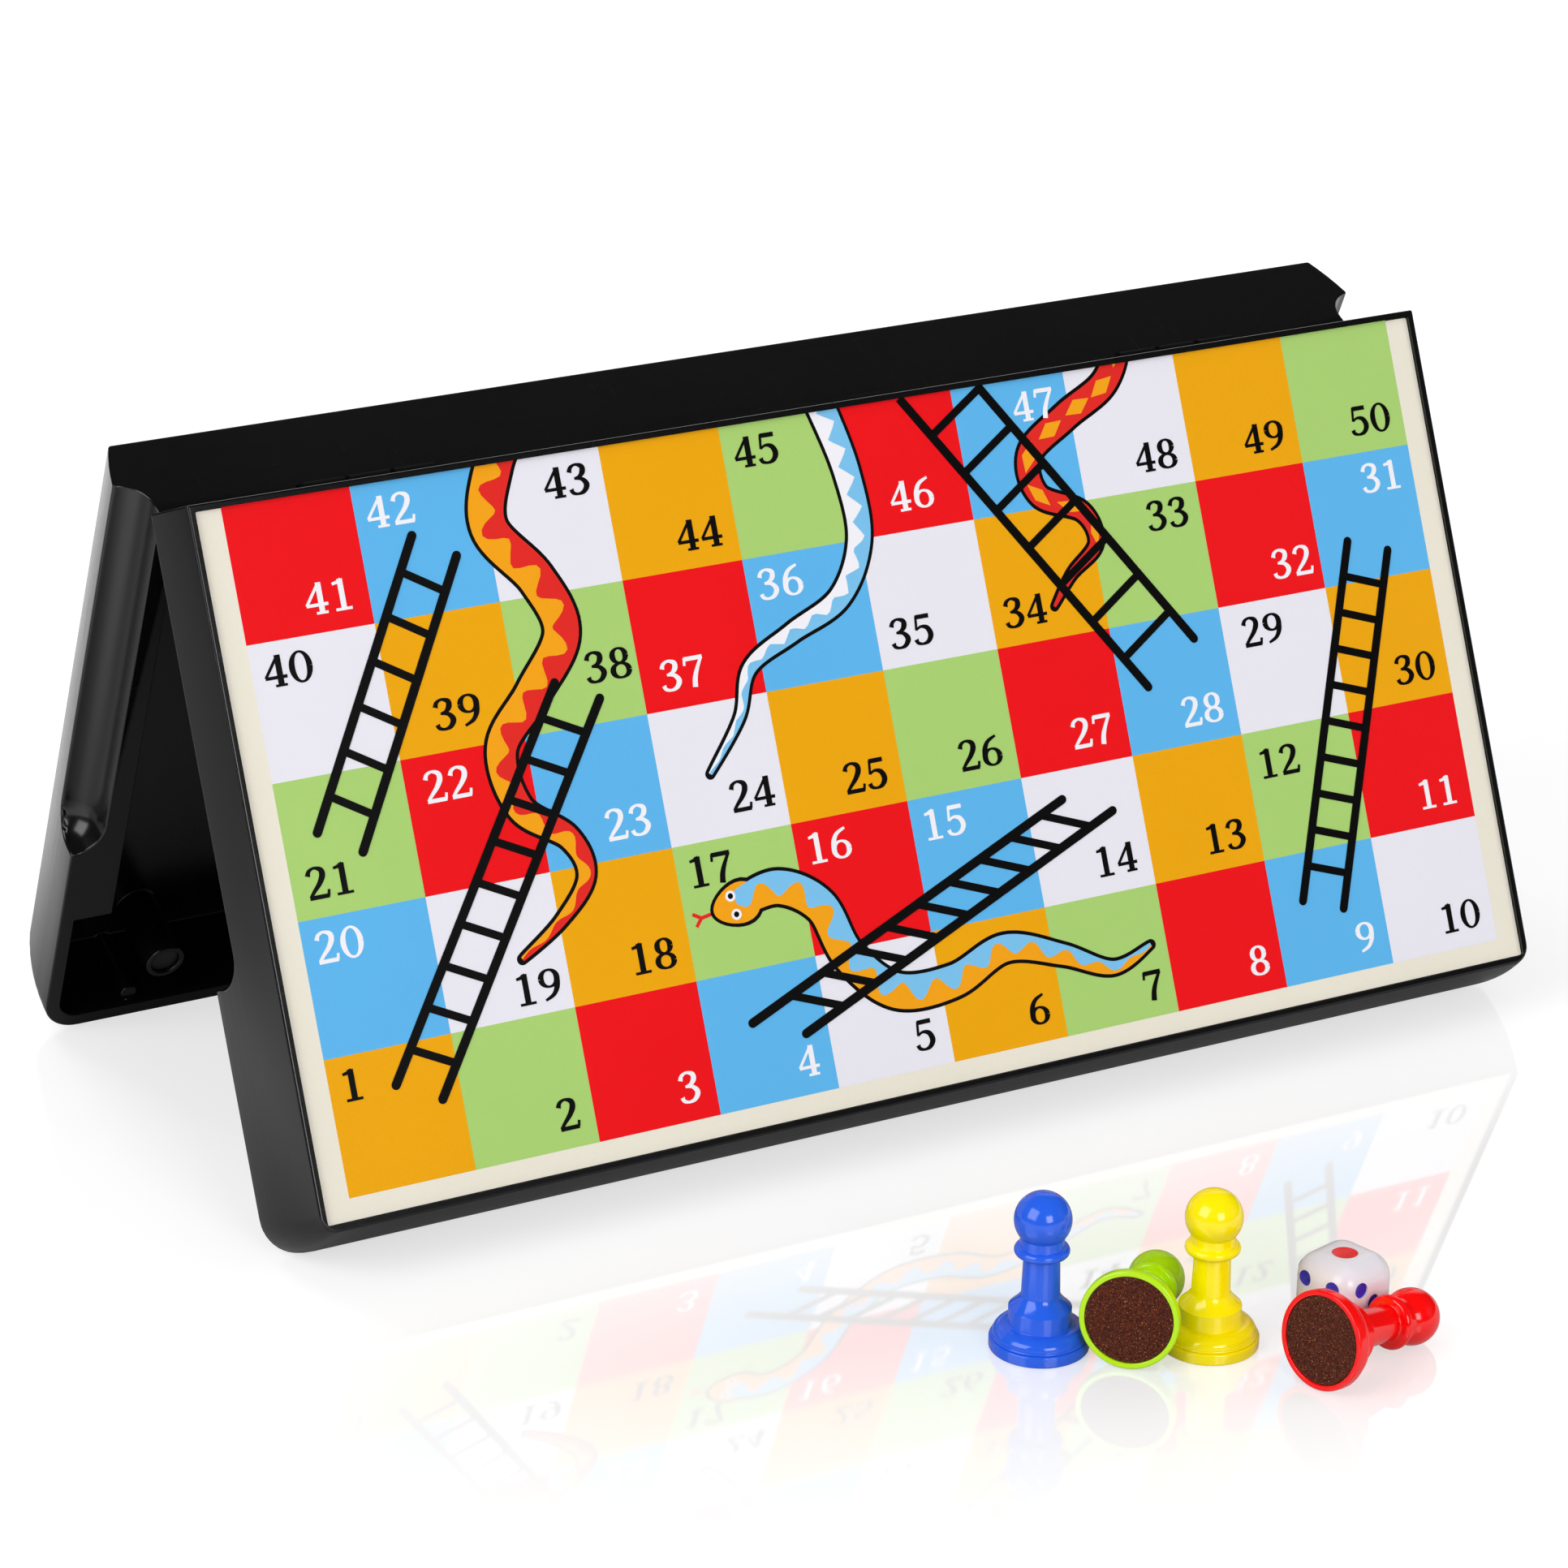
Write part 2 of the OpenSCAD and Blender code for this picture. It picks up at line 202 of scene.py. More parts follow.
class GroupKit(NodeKit):
    """A node group with named inputs and outputs."""

    def __init__(
        self,
        name: str,
        kind: TreeKind,
        inputs: Mapping[SocketKind, Sequence[str]],
        outputs: Mapping[SocketKind, Sequence[str]],
    ) -> None:
        """Makes the group and its sockets.

        Args:
            name: Name of the group.
            kind: Shader or geometry.
            inputs: Names of the inputs by socket kind.
            outputs: Names of the outputs by socket kind.
        """
        super().__init__(bpy.data.node_groups.new(name, kind.value))
        for way, sockets in (("INPUT", inputs), ("OUTPUT", outputs)):
            for socket, labels in sockets.items():
                for label in labels:
                    self.tree.interface.new_socket(label, in_out=way, socket_type=socket.value)
        self.source = self.add("NodeGroupInput")
        self.sink = self.add("NodeGroupOutput")

    @classmethod
    def shape(cls, name: str, inputs: Mapping[SocketKind, Sequence[str]]) -> "GroupKit":
        """Makes a geometry group that gives one geometry."""
        return cls(name, TreeKind.GEOMETRY, inputs, {SocketKind.GEOMETRY: ("Geometry",)})

    def __getitem__(self, name: str) -> bpy.types.NodeSocket:
        """Gives the group's input with this name."""
        return self.source.outputs[name]

    def give(self, name: str, socket: bpy.types.NodeSocket) -> None:
        """Sends a socket to the group's output with this name."""
        self.tree.links.new(socket, self.sink.inputs[name])

    def finish(self, shape: bpy.types.NodeSocket) -> bpy.types.NodeTree:
        """Ends a geometry group: its instances become real and take the material from its Colour input.

        Args:
            shape: The geometry so far.

        Returns:
            The finished tree.
        """
        whole = self.add("GeometryNodeRealizeInstances", {"Geometry": shape}).outputs[0]
        inked = self.add("GeometryNodeSetMaterial", {"Geometry": whole, "Material": self["Colour"]})
        self.give("Geometry", inked.outputs[0])
        return self.tree


class ShaderEffects:
    """Shader groups that several materials share, each built once."""

    built: dict[str, bpy.types.NodeTree] = {}

    @classmethod
    def skin(cls) -> bpy.types.NodeTree:
        """Uneven skin of plastic, ink or metal: faint mottle, changing gloss and a fine grain.

        Returns:
            The shader group.
        """
        if "uneven_skin" not in cls.built:
            kit = GroupKit(
                "uneven_skin",
                TreeKind.SHADER,
                {
                    SocketKind.COLOUR: ("Colour",),
                    SocketKind.FLOAT: ("Grain Scale", "Broad Share", "Mottle", "Roughness", "Spread"),
                },
                {SocketKind.COLOUR: ("Colour",), SocketKind.FLOAT: ("Roughness", "Height")},
            )
            place = kit.add("ShaderNodeTexCoord").outputs["Object"]
            fine = kit.noise(place, kit["Grain Scale"], 3.0, 0.6)
            broad = kit.noise(place, kit.math("MULTIPLY", kit["Grain Scale"], kit["Broad Share"]), 2.0)
            both = kit.math("MULTIPLY", kit.math("ADD", fine, broad), 0.5)
            swing = kit.math("MULTIPLY", kit.math("SUBTRACT", both, 0.5), kit["Spread"])
            tone = kit.math("ADD", both, 0.5)
            kit.give("Colour", kit.tint(kit["Mottle"], kit["Colour"], tone, "MULTIPLY"))
            kit.give("Roughness", kit.math("ADD", kit["Roughness"], swing))
            kit.give("Height", fine)
            cls.built["uneven_skin"] = kit.tree
        return cls.built["uneven_skin"]

    @classmethod
    def hairlines(cls) -> bpy.types.NodeTree:
        """Fine handling marks that run two ways over a smooth surface.

        Returns:
            The shader group.
        """
        if "hairlines" not in cls.built:
            kit = GroupKit(
                "hairlines", TreeKind.SHADER, {SocketKind.FLOAT: ("Scale",)}, {SocketKind.FLOAT: ("Mask",)}
            )
            place = kit.add("ShaderNodeTexCoord").outputs["Object"]
            marks = []
            for turn, stretch in ((0.4, (1.0, 24.0, 1.0)), (1.9, (24.0, 1.0, 1.0))):
                feeds = {"Vector": place, "Rotation": (0, 0, turn), "Scale": stretch}
                placed = kit.add("ShaderNodeMapping", feeds).outputs[0]
                marks.append(kit.ramp(kit.noise(placed, kit["Scale"], 1.0), (0.7, 0.78)))
            kit.give("Mask", kit.math("MAXIMUM", *marks))
            cls.built["hairlines"] = kit.tree
        return cls.built["hairlines"]


@dataclass
class Surface(NodeKit):
    """A material's tree with its Principled shader."""

    shader: bpy.types.Node

    @classmethod
    def new(cls, name: str) -> tuple[bpy.types.Material, "Surface"]:
        """Makes an empty material.

        Args:
            name: The material's name.

        Returns:
            The material and its tree.
        """
        material = bpy.data.materials.new(name)
        material.use_nodes = True
        tree = material.node_tree
        tree.nodes.clear()
        shader = tree.nodes.new("ShaderNodeBsdfPrincipled")
        output = tree.nodes.new("ShaderNodeOutputMaterial")
        tree.links.new(shader.outputs[0], output.inputs["Surface"])
        return material, cls(tree, shader)

    def set(self, values: Mapping[str, object]) -> None:
        """Sets plain values on the shader's own sockets."""
        for name, value in values.items():
            self.shader.inputs[name].default_value = value

    def skin(
        self, colour: Colour, grain: float, broad: float, mottle: float, roughness: float, spread: float
    ) -> Mapping[str, bpy.types.NodeSocket]:
        """Places the uneven skin.

        Args:
            colour: Its colour.
            grain: Scale of its fine noise.
            broad: Scale of its broad noise as a share of the fine one's.
            mottle: How much its colour changes.
            roughness: Its mean roughness.
            spread: How much its roughness changes.

        Returns:
            Its Colour, Roughness and Height.
        """
        feeds = {
            "Colour": (*colour, 1),
            "Grain Scale": grain,
            "Broad Share": broad,
            "Mottle": mottle,
            "Roughness": roughness,
            "Spread": spread,
        }
        return self.add("ShaderNodeGroup", feeds, node_tree=ShaderEffects.skin()).outputs

    def worn(self, roughness: bpy.types.NodeSocket, scale: float, depth: float) -> bpy.types.NodeSocket:
        """Adds handling marks of some scale and depth to a roughness."""
        marks = self.add("ShaderNodeGroup", {"Scale": scale}, node_tree=ShaderEffects.hairlines())
        return self.math("MULTIPLY_ADD", marks.outputs["Mask"], depth, roughness)

    def wire(self, colour: object, roughness: object, height: object, strength: float, depth: float) -> None:
        """Joins the colour, the roughness and a bump to the shader.

        Args:
            colour: Socket of the base colour.
            roughness: Socket of the roughness.
            height: Socket of the bump's height.
            strength: Strength of the bump.
            depth: Depth of the bump in metres.
        """
        self.tree.links.new(colour, self.shader.inputs["Base Color"])
        self.tree.links.new(roughness, self.shader.inputs["Roughness"])
        bump = self.add("ShaderNodeBump", {"Strength": strength, "Distance": depth, "Height": height})
        self.tree.links.new(bump.outputs[0], self.shader.inputs["Normal"])


@dataclass(frozen=True)
class Finish:
    """A finish with one material of its own."""

    name: str
    colour: Colour

    def material(self) -> bpy.types.Material:
        """Builds the material once and gives it."""
        if self.name not in bpy.data.materials:
            _, surface = Surface.new(self.name)
            self.paint(surface)
        return bpy.data.materials[self.name]

    def paint(self, surface: Surface) -> None:
        """Wires the finish into its material's empty tree."""
        raise NotImplementedError


@dataclass(frozen=True)
class MouldedPlastic(Finish):
    """Glossy moulded plastic, or enamel of the same look."""

    roughness: float = 0.2
    spread: float = 0.12
    grain: float = 1400.0
    broad: float = 0.06
    mottle: float = 0.06
    bump: float = 0.1
    scatter: float = 0.0
    gloss: float = 0.5
    marked: bool = False

    def paint(self, surface: Surface) -> None:
        """Wires the skin, its handling marks and the light that it scatters."""
        skin = surface.skin(self.colour, self.grain, self.broad, self.mottle, self.roughness, self.spread)
        roughness = surface.worn(skin["Roughness"], 90.0, 0.05) if self.marked else skin["Roughness"]
        surface.set({"Specular IOR Level": self.gloss, "Subsurface Weight": self.scatter})
        if self.scatter:
            surface.set({"Subsurface Radius": (0.8, 0.75, 0.7), "Subsurface Scale": 1.2 * MM})
        surface.wire(skin["Colour"], roughness, skin["Height"], self.bump, 0.03 * MM)


@dataclass(frozen=True)
class PrintInk(Finish):
    """Printed ink under a clear film, with fine flecks and a soft sheen."""

    grain: float = 2600.0
    broad: float = 0.02
    mottle: float = 0.1
    roughness: float = 0.38
    spread: float = 0.12

    def paint(self, surface: Surface) -> None:
        """Wires the film over the ink."""
        film = surface.skin(self.colour, self.grain, self.broad, self.mottle, self.roughness, self.spread)
        surface.set({"Specular IOR Level": 0.09})
        surface.wire(film["Colour"], film["Roughness"], film["Height"], 0.06, 0.02 * MM)


@dataclass(frozen=True)
class BareMetal(Finish):
    """Plain metal or ferrite with fine handling marks."""

    metallic: float = 1.0
    roughness: float = 0.34

    def paint(self, surface: Surface) -> None:
        """Wires the metal and its marks."""
        skin = surface.skin(self.colour, 2200.0, 0.06, 0.15, self.roughness, 0.2)
        surface.set({"Metallic": self.metallic})
        worn = surface.worn(skin["Roughness"], 160.0, 0.15)
        surface.wire(skin["Colour"], worn, skin["Height"], 0.15, 0.03 * MM)


@dataclass(frozen=True)
class Flocking(Finish):
    """Short-pile flock: dark fibres, lighter ones among them and bright flecks."""

    light: Colour
    fleck: Colour

    def paint(self, surface: Surface) -> None:
        """Wires the mixed fibres and their matt nap."""
        place = surface.add("ShaderNodeTexCoord").outputs["Object"]
        fibres = surface.noise(place, 3800.0, 2.0, 0.7)
        mixed = surface.tint(surface.ramp(fibres, (0.4, 0.66)), (*self.colour, 1), (*self.light, 1))
        specks = surface.ramp(surface.noise(place, 5200.0, 0.0), (0.72, 0.8), high=0.6)
        mixed = surface.tint(specks, mixed, (*self.fleck, 1))
        surface.set({"Sheen Weight": 0.06, "Sheen Roughness": 0.5, "Specular IOR Level": 0.2})
        surface.wire(mixed, surface.math("MULTIPLY_ADD", fibres, 0.15, 0.8), fibres, 0.5, 0.08 * MM)


SHELL_BLACK = MouldedPlastic(
    "shell_black_gloss", screen_colour(12, 12, 13), roughness=0.22, grain=700.0, bump=0.05, marked=True
)
KNUCKLE_BLACK = MouldedPlastic(
    "knuckle_black_matt", screen_colour(8, 8, 9), roughness=0.7, mottle=0.0, gloss=0.1
)
CREAM_BASE = PrintInk("print_cream_base", screen_colour(231, 225, 210))
SQUARE_INKS = (
    PrintInk("square_orange", screen_colour(234, 164, 6)),
    PrintInk("square_green", screen_colour(167, 205, 113)),
    PrintInk("square_red", screen_colour(234, 14, 22)),
    PrintInk("square_blue", screen_colour(92, 178, 232)),
    PrintInk("square_white", screen_colour(229, 227, 236), mottle=0.05),
)
LIGHT_NUMBERED = (2, 3)
INK_BLACK = PrintInk("ink_black", screen_colour(9, 8, 9), mottle=0.2)
INK_WHITE = PrintInk("ink_white", screen_colour(238, 237, 243), mottle=0.04)
INK_ORANGE = PrintInk("snake_orange", screen_colour(240, 160, 20))
INK_RED = PrintInk("snake_red", screen_colour(222, 40, 34))
INK_SKY = PrintInk("snake_sky", screen_colour(120, 190, 232))
INK_LEAF = PrintInk("snake_leaf", screen_colour(96, 166, 78))
STEEL = BareMetal("steel_sheet_bright", screen_colour(196, 198, 200))
PIN_STEEL = BareMetal("pin_wire_bright", screen_colour(186, 187, 188), roughness=0.26)
FERRITE = BareMetal("ferrite_grey", screen_colour(58, 57, 58), metallic=0.2, roughness=0.55)
FLOCK = Flocking(
    "pad_brown_flock", screen_colour(54, 18, 10), screen_colour(108, 48, 26), screen_colour(206, 146, 92)
)
DIE_WHITE = MouldedPlastic(
    "die_white_gloss", screen_colour(228, 224, 230), roughness=0.24, mottle=0.03, scatter=0.2
)
PIP_RED = MouldedPlastic("pip_red_enamel", screen_colour(226, 8, 14), roughness=0.26)
PIP_BLUE = MouldedPlastic("pip_blue_enamel", screen_colour(44, 40, 176), roughness=0.26)


class Meshes:
    """Turns meshes and modifiers into finished pieces."""

    @staticmethod
    def piece(name: str, bm: bmesh.types.BMesh, *materials: bpy.types.Material) -> bpy.types.Object:
        """Makes an object from a bmesh, with its faces turned outwards.

        Args:
            name: Name of the piece.
            bm: Its shape, which is freed.
            *materials: Its materials in slot order.

        Returns:
            The new object at the origin.
        """
        bmesh.ops.recalc_face_normals(bm, faces=bm.faces)
        mesh = bpy.data.meshes.new(name)
        bm.to_mesh(mesh)
        bm.free()
        for material in materials:
            mesh.materials.append(material)
        piece = bpy.data.objects.new(name, mesh)
        bpy.context.scene.collection.objects.link(piece)
        return piece

    @staticmethod
    def plain(piece: bpy.types.Object) -> None:
        """Turns a piece's modifiers into its own plain mesh."""
        graph = bpy.context.evaluated_depsgraph_get()
        mesh = bpy.data.meshes.new_from_object(
            piece.evaluated_get(graph), preserve_all_data_layers=True, depsgraph=graph
        )
        piece.modifiers.clear()
        piece.data = mesh

    @staticmethod
    def grow(piece: bpy.types.Object, tree: bpy.types.NodeTree, values: Mapping[str, object]) -> None:
        """Runs a geometry tree on a piece and keeps its result as a plain mesh.

        Args:
            piece: The object that carries the tree.
            tree: The geometry tree.
            values: What its named inputs get.
        """
        modifier = piece.modifiers.new(tree.name, "NODES")
        modifier.node_group = tree
        for item in tree.interface.items_tree:
            if item.item_type == "SOCKET" and item.in_out == "INPUT" and item.name in values:
                modifier[item.identifier] = values[item.name]
        Meshes.plain(piece)

    @staticmethod
    def smooth(piece: bpy.types.Object, sharp_deg: float) -> None:
        """Shades a piece smooth, apart from edges sharper than an angle in degrees."""
        piece.data.shade_smooth()
        piece.data.set_sharp_from_angle(angle=math.radians(sharp_deg))

    @staticmethod
    def lathe(
        name: str, outline: Sequence[Point], turns: int, *materials: bpy.types.Material
    ) -> bpy.types.Object:
        """Turns an outline of radius and height about the vertical axis.

        Args:
            name: Name of the piece.
            outline: Radius and height of each point, from the axis round to the axis.
            turns: Number of steps in the circle.
            *materials: Materials in slot order.

        Returns:
            The closed piece, standing at the origin.
        """
        bm = bmesh.new()
        rings = []
        for radius, height in outline:
            if radius < 1e-9:
                rings.append([bm.verts.new((0, 0, height))])
                continue
            steps = (math.tau * k / turns for k in range(turns))
            rings.append([bm.verts.new((radius * math.cos(a), radius * math.sin(a), height)) for a in steps])
        for lower, upper in zip(rings, rings[1:]):
            for k in range(turns):
                ring = [lower[k % len(lower)], lower[(k + 1) % len(lower)]]
                ring += [upper[(k + 1) % len(upper)], upper[k % len(upper)]]
                bm.faces.new(list(dict.fromkeys(ring)))
        return Meshes.piece(name, bm, *materials)


def arc(centre: Point, radius: float, start: float, end: float, steps: int) -> list[Point]:
    """Points along an arc.

    Args:
        centre: Middle of the circle.
        radius: Its radius.
        start: First angle in degrees.
        end: Last angle in degrees.
        steps: Number of steps between the two.

    Returns:
        The points, both ends among them.
    """
    angles = (math.radians(start + (end - start) * k / steps) for k in range(steps + 1))
    return [(centre[0] + radius * math.cos(a), centre[1] + radius * math.sin(a)) for a in angles]


def smooth_path(points: Sequence[tuple[float, ...]], steps: int) -> list[tuple[float, ...]]:
    """Draws a smooth path through points.

    Args:
        points: Points of any number of values each.
        steps: Steps from one point to the next.

    Returns:
        The points of the path.
    """
    path = []
    last = len(points) - 1
    for k in range(last):
        a, b, c, d = (points[min(max(k + shift, 0), last)] for shift in (-1, 0, 1, 2))
        for step in range(steps):
            t = step / steps
            path.append(
                tuple(
                    0.5
                    * (
                        2 * q
                        + (r - p) * t
                        + (2 * p - 5 * q + 4 * r - s) * t * t
                        + (3 * q - p - 3 * r + s) * t * t * t
                    )
                    for p, q, r, s in zip(a, b, c, d)
                )
            )
    path.append(tuple(points[last]))
    return path


class Dab(NamedTuple):
    """One place along a printed stroke: its middle and half its width."""

    x: float
    y: float
    half: float


@dataclass
class InkShape:
    """A flat printed shape that is the union of convex patches."""

    patches: list[list[Point]] = field(default_factory=list)

    def ribbon(self, left: Sequence[Point], right: Sequence[Point]) -> None:
        """Adds the band between two edges of equally many points."""
        for k in range(len(left) - 1):
            self.patches.append([left[k], right[k], right[k + 1], left[k + 1]])

    def stroke(self, dabs: Sequence[Dab]) -> None:
        """Adds a stroke of changing width."""
        left, right = stroke_edges(dabs)
        self.ribbon(left, right)

    def disc(self, centre: Point, radius: float, sides: int = 20) -> None:
        """Adds a round spot."""
        self.patches.append(arc(centre, radius, 0, 360 - 360 / sides, sides - 1))

    def cut(self, low: float, high: float) -> "InkShape":
        """Keeps what lies between two heights.

        Args:
            low: Lower limit of y.
            high: Upper limit of y.

        Returns:
            The cut shape.
        """
        kept = []
        for patch in self.patches:
            for limit, side in ((low, 1), (high, -1)):
                ring = []
                for start, end in zip(patch, patch[1:] + patch[:1]):
                    inside, leaves = (side * (p[1] - limit) >= 0 for p in (start, end))
                    if inside:
                        ring.append(start)
                    if inside != leaves:
                        t = (limit - start[1]) / (end[1] - start[1])
                        ring.append((start[0] + t * (end[0] - start[0]), limit))
                patch = ring
            if len(patch) > 2:
                kept.append(patch)
        return InkShape(kept)

    def press(self, bm: bmesh.types.BMesh, low: float, top: float, slot: int = 0) -> None:
        """Adds the shape to a mesh as one thin closed layer.

        Args:
            bm: The mesh.
            low: Height of the layer's underside.
            top: Height of its face.
            slot: Material slot of its faces.
        """
        if not self.patches:
            return
        points = [Vector(p) for patch in self.patches for p in patch]
        rings, used = [], 0
        for patch in self.patches:
            rings.append(list(range(used, used + len(patch))))
            used += len(patch)
        spots, _, cells, _, _, owners = delaunay_2d_cdt(points, [], rings, 1, 1e-5)
        cells = [cell for cell, owner in zip(cells, owners) if owner]
        layers = [{k: bm.verts.new((*spots[k], z)) for cell in cells for k in cell} for z in (low, top)]
        sides = {(a, b) for cell in cells for a, b in zip(cell, cell[1:] + cell[:1])}
        faces = [bm.faces.new([layers[1][k] for k in cell]) for cell in cells]
        faces += [bm.faces.new([layers[0][k] for k in reversed(cell)]) for cell in cells]
        faces += [
            bm.faces.new([layers[0][a], layers[0][b], layers[1][b], layers[1][a]])
            for a, b in sides
            if (b, a) not in sides
        ]
        for face in faces:
            face.material_index = slot


def stroke_edges(dabs: Sequence[Dab]) -> tuple[list[Point], list[Point]]:
    """Finds the two edges of a stroke.

    Args:
        dabs: The stroke's places in order.

    Returns:
        Its left and its right edge.
    """
    left, right = [], []
    for k, dab in enumerate(dabs):
        before, after = dabs[max(k - 1, 0)], dabs[min(k + 1, len(dabs) - 1)]
        run = Vector((after.x - before.x, after.y - before.y)).normalized()
        left.append((dab.x - run.y * dab.half, dab.y + run.x * dab.half))
        right.append((dab.x + run.y * dab.half, dab.y - run.x * dab.half))
    return left, right


@dataclass(frozen=True)
class DigitFont:
    """Serif figures with thick and thin strokes, one unit high."""

    thin: float
    thick: float
    width: float = 0.64
    stretch: float = 1.3

    def dab(self, x: float, y: float, weight: float) -> Dab:
        """A dab whose width lies between thin and thick."""
        return Dab(x, y, self.thin + (self.thick - self.thin) * weight)

    def line(self, *stops: tuple[float, float, float], curved: bool = False) -> list[Dab]:
        """A stroke through stops of x, y and weight, straight or curved."""
        path = smooth_path(stops, 6) if curved else stops
        return [self.dab(*stop) for stop in path]

    def bowl(self, cx: float, cy: float, rx: float, ry: float) -> list[Dab]:
        """A closed ring, thick at its sides and thin at its top and bottom."""
        angles = [math.tau * k / 32 for k in range(33)]
        return [self.dab(cx + rx * math.cos(a), cy + ry * math.sin(a), math.cos(a) ** 2) for a in angles]

    def strokes(self, digit: int) -> list[list[Dab]]:
        """Strokes of one figure.

        Args:
            digit: The figure, 0 to 9.

        Returns:
            Its strokes.
        """
        line = self.line
        hook = ((0.51, 0.3, 1.0), (0.42, 0.1, 0.6), (0.26, 0.035, 0.1), (0.12, 0.09, 0.4), (0.08, 0.21, 0.7))
        crown = ((0.1, 0.74, 0.8), (0.15, 0.89, 0.4), (0.29, 0.965, 0.1), (0.45, 0.88, 0.8))
        slope = ((0.47, 0.7, 1), (0.37, 0.47, 0.7), (0.2, 0.24, 0.35), (0.09, 0.07, 0.25))
        arm = ((0.12, 0.33, 1.0), (0.15, 0.6, 0.85), (0.27, 0.83, 0.45), (0.5, 0.97, 0.05))
        figures = {
            0: [self.bowl(0.32, 0.5, 0.225, 0.465)],
            1: [
                line((0.33, 0.0, 1), (0.33, 0.98, 1)),
                line((0.12, 0.04, 0.1), (0.54, 0.04, 0.1)),
                line((0.36, 0.955, 0.4), (0.24, 0.88, 0.3), (0.12, 0.85, 0.1)),
            ],
            2: [
                line(*crown, *slope, curved=True),
                line((0.07, 0.06, 0.5), (0.57, 0.06, 0.5)),
                line((0.55, 0.05, 0.15), (0.58, 0.25, 0.1)),
            ],
            3: [
                line(*crown, (0.45, 0.71, 0.95), (0.35, 0.575, 0.35), (0.21, 0.53, 0), curved=True),
                line((0.21, 0.53, 0), (0.4, 0.49, 0.45), *hook, curved=True),
            ],
            4: [
                line((0.42, 0.95, 0.15), (0.045, 0.3, 0.15)),
                line((0.04, 0.29, 0.25), (0.6, 0.29, 0.25)),
                line((0.42, 0.0, 1), (0.42, 0.98, 1)),
                line((0.27, 0.035, 0.05), (0.57, 0.035, 0.05)),
            ],
            5: [
                line((0.15, 0.925, 0.6), (0.53, 0.925, 0.6)),
                line((0.165, 0.96, 0.1), (0.125, 0.5, 0.1)),
                line((0.125, 0.51, 0), (0.27, 0.6, 0.15), (0.44, 0.53, 0.75), *hook, curved=True),
            ],
            6: [self.bowl(0.33, 0.3, 0.21, 0.265), line(*arm, curved=True)],
            7: [
                line((0.07, 0.925, 0.6), (0.57, 0.925, 0.6)),
                line((0.085, 0.96, 0.15), (0.06, 0.72, 0.1)),
                line((0.55, 0.93, 0.2), (0.4, 0.6, 0.5), (0.3, 0.3, 0.85), (0.26, 0, 1), curved=True),
            ],
            8: [self.bowl(0.32, 0.735, 0.175, 0.23), self.bowl(0.32, 0.26, 0.215, 0.225)],
        }
        if digit == 9:
            return [[Dab(self.width - x, 1 - y, half) for x, y, half in s] for s in self.strokes(6)]
        return figures[digit]

    def glyphs(self, name: str, height: float, low: float, top: float) -> bpy.types.Collection:
        """Makes the ten figures as thin layers for instancing.

        Args:
            name: Name of the collection.
            height: Height of a figure in metres.
            low: Height of the ink's underside.
            top: Height of its face.

        Returns:
            A collection of the figures in order, about their own middles.
        """
        collection = bpy.data.collections.new(name)
        for digit in range(10):
            shape = InkShape()
            for stroke in self.strokes(digit):
                middle = self.width / 2
                shape.stroke([Dab((x - middle) * self.stretch, y - 0.5, half) for x, y, half in stroke])
            bm = bmesh.new()
            shape.press(bm, 0.0, 1.0)
            place = Matrix.Translation((0, 0, low)) @ Matrix.Diagonal((height, height, top - low, 1))
            bmesh.ops.transform(bm, matrix=place, verts=bm.verts)
            glyph = Meshes.piece(f"{name}_{digit}", bm)
            bpy.context.scene.collection.objects.unlink(glyph)
            collection.objects.link(glyph)
        return collection


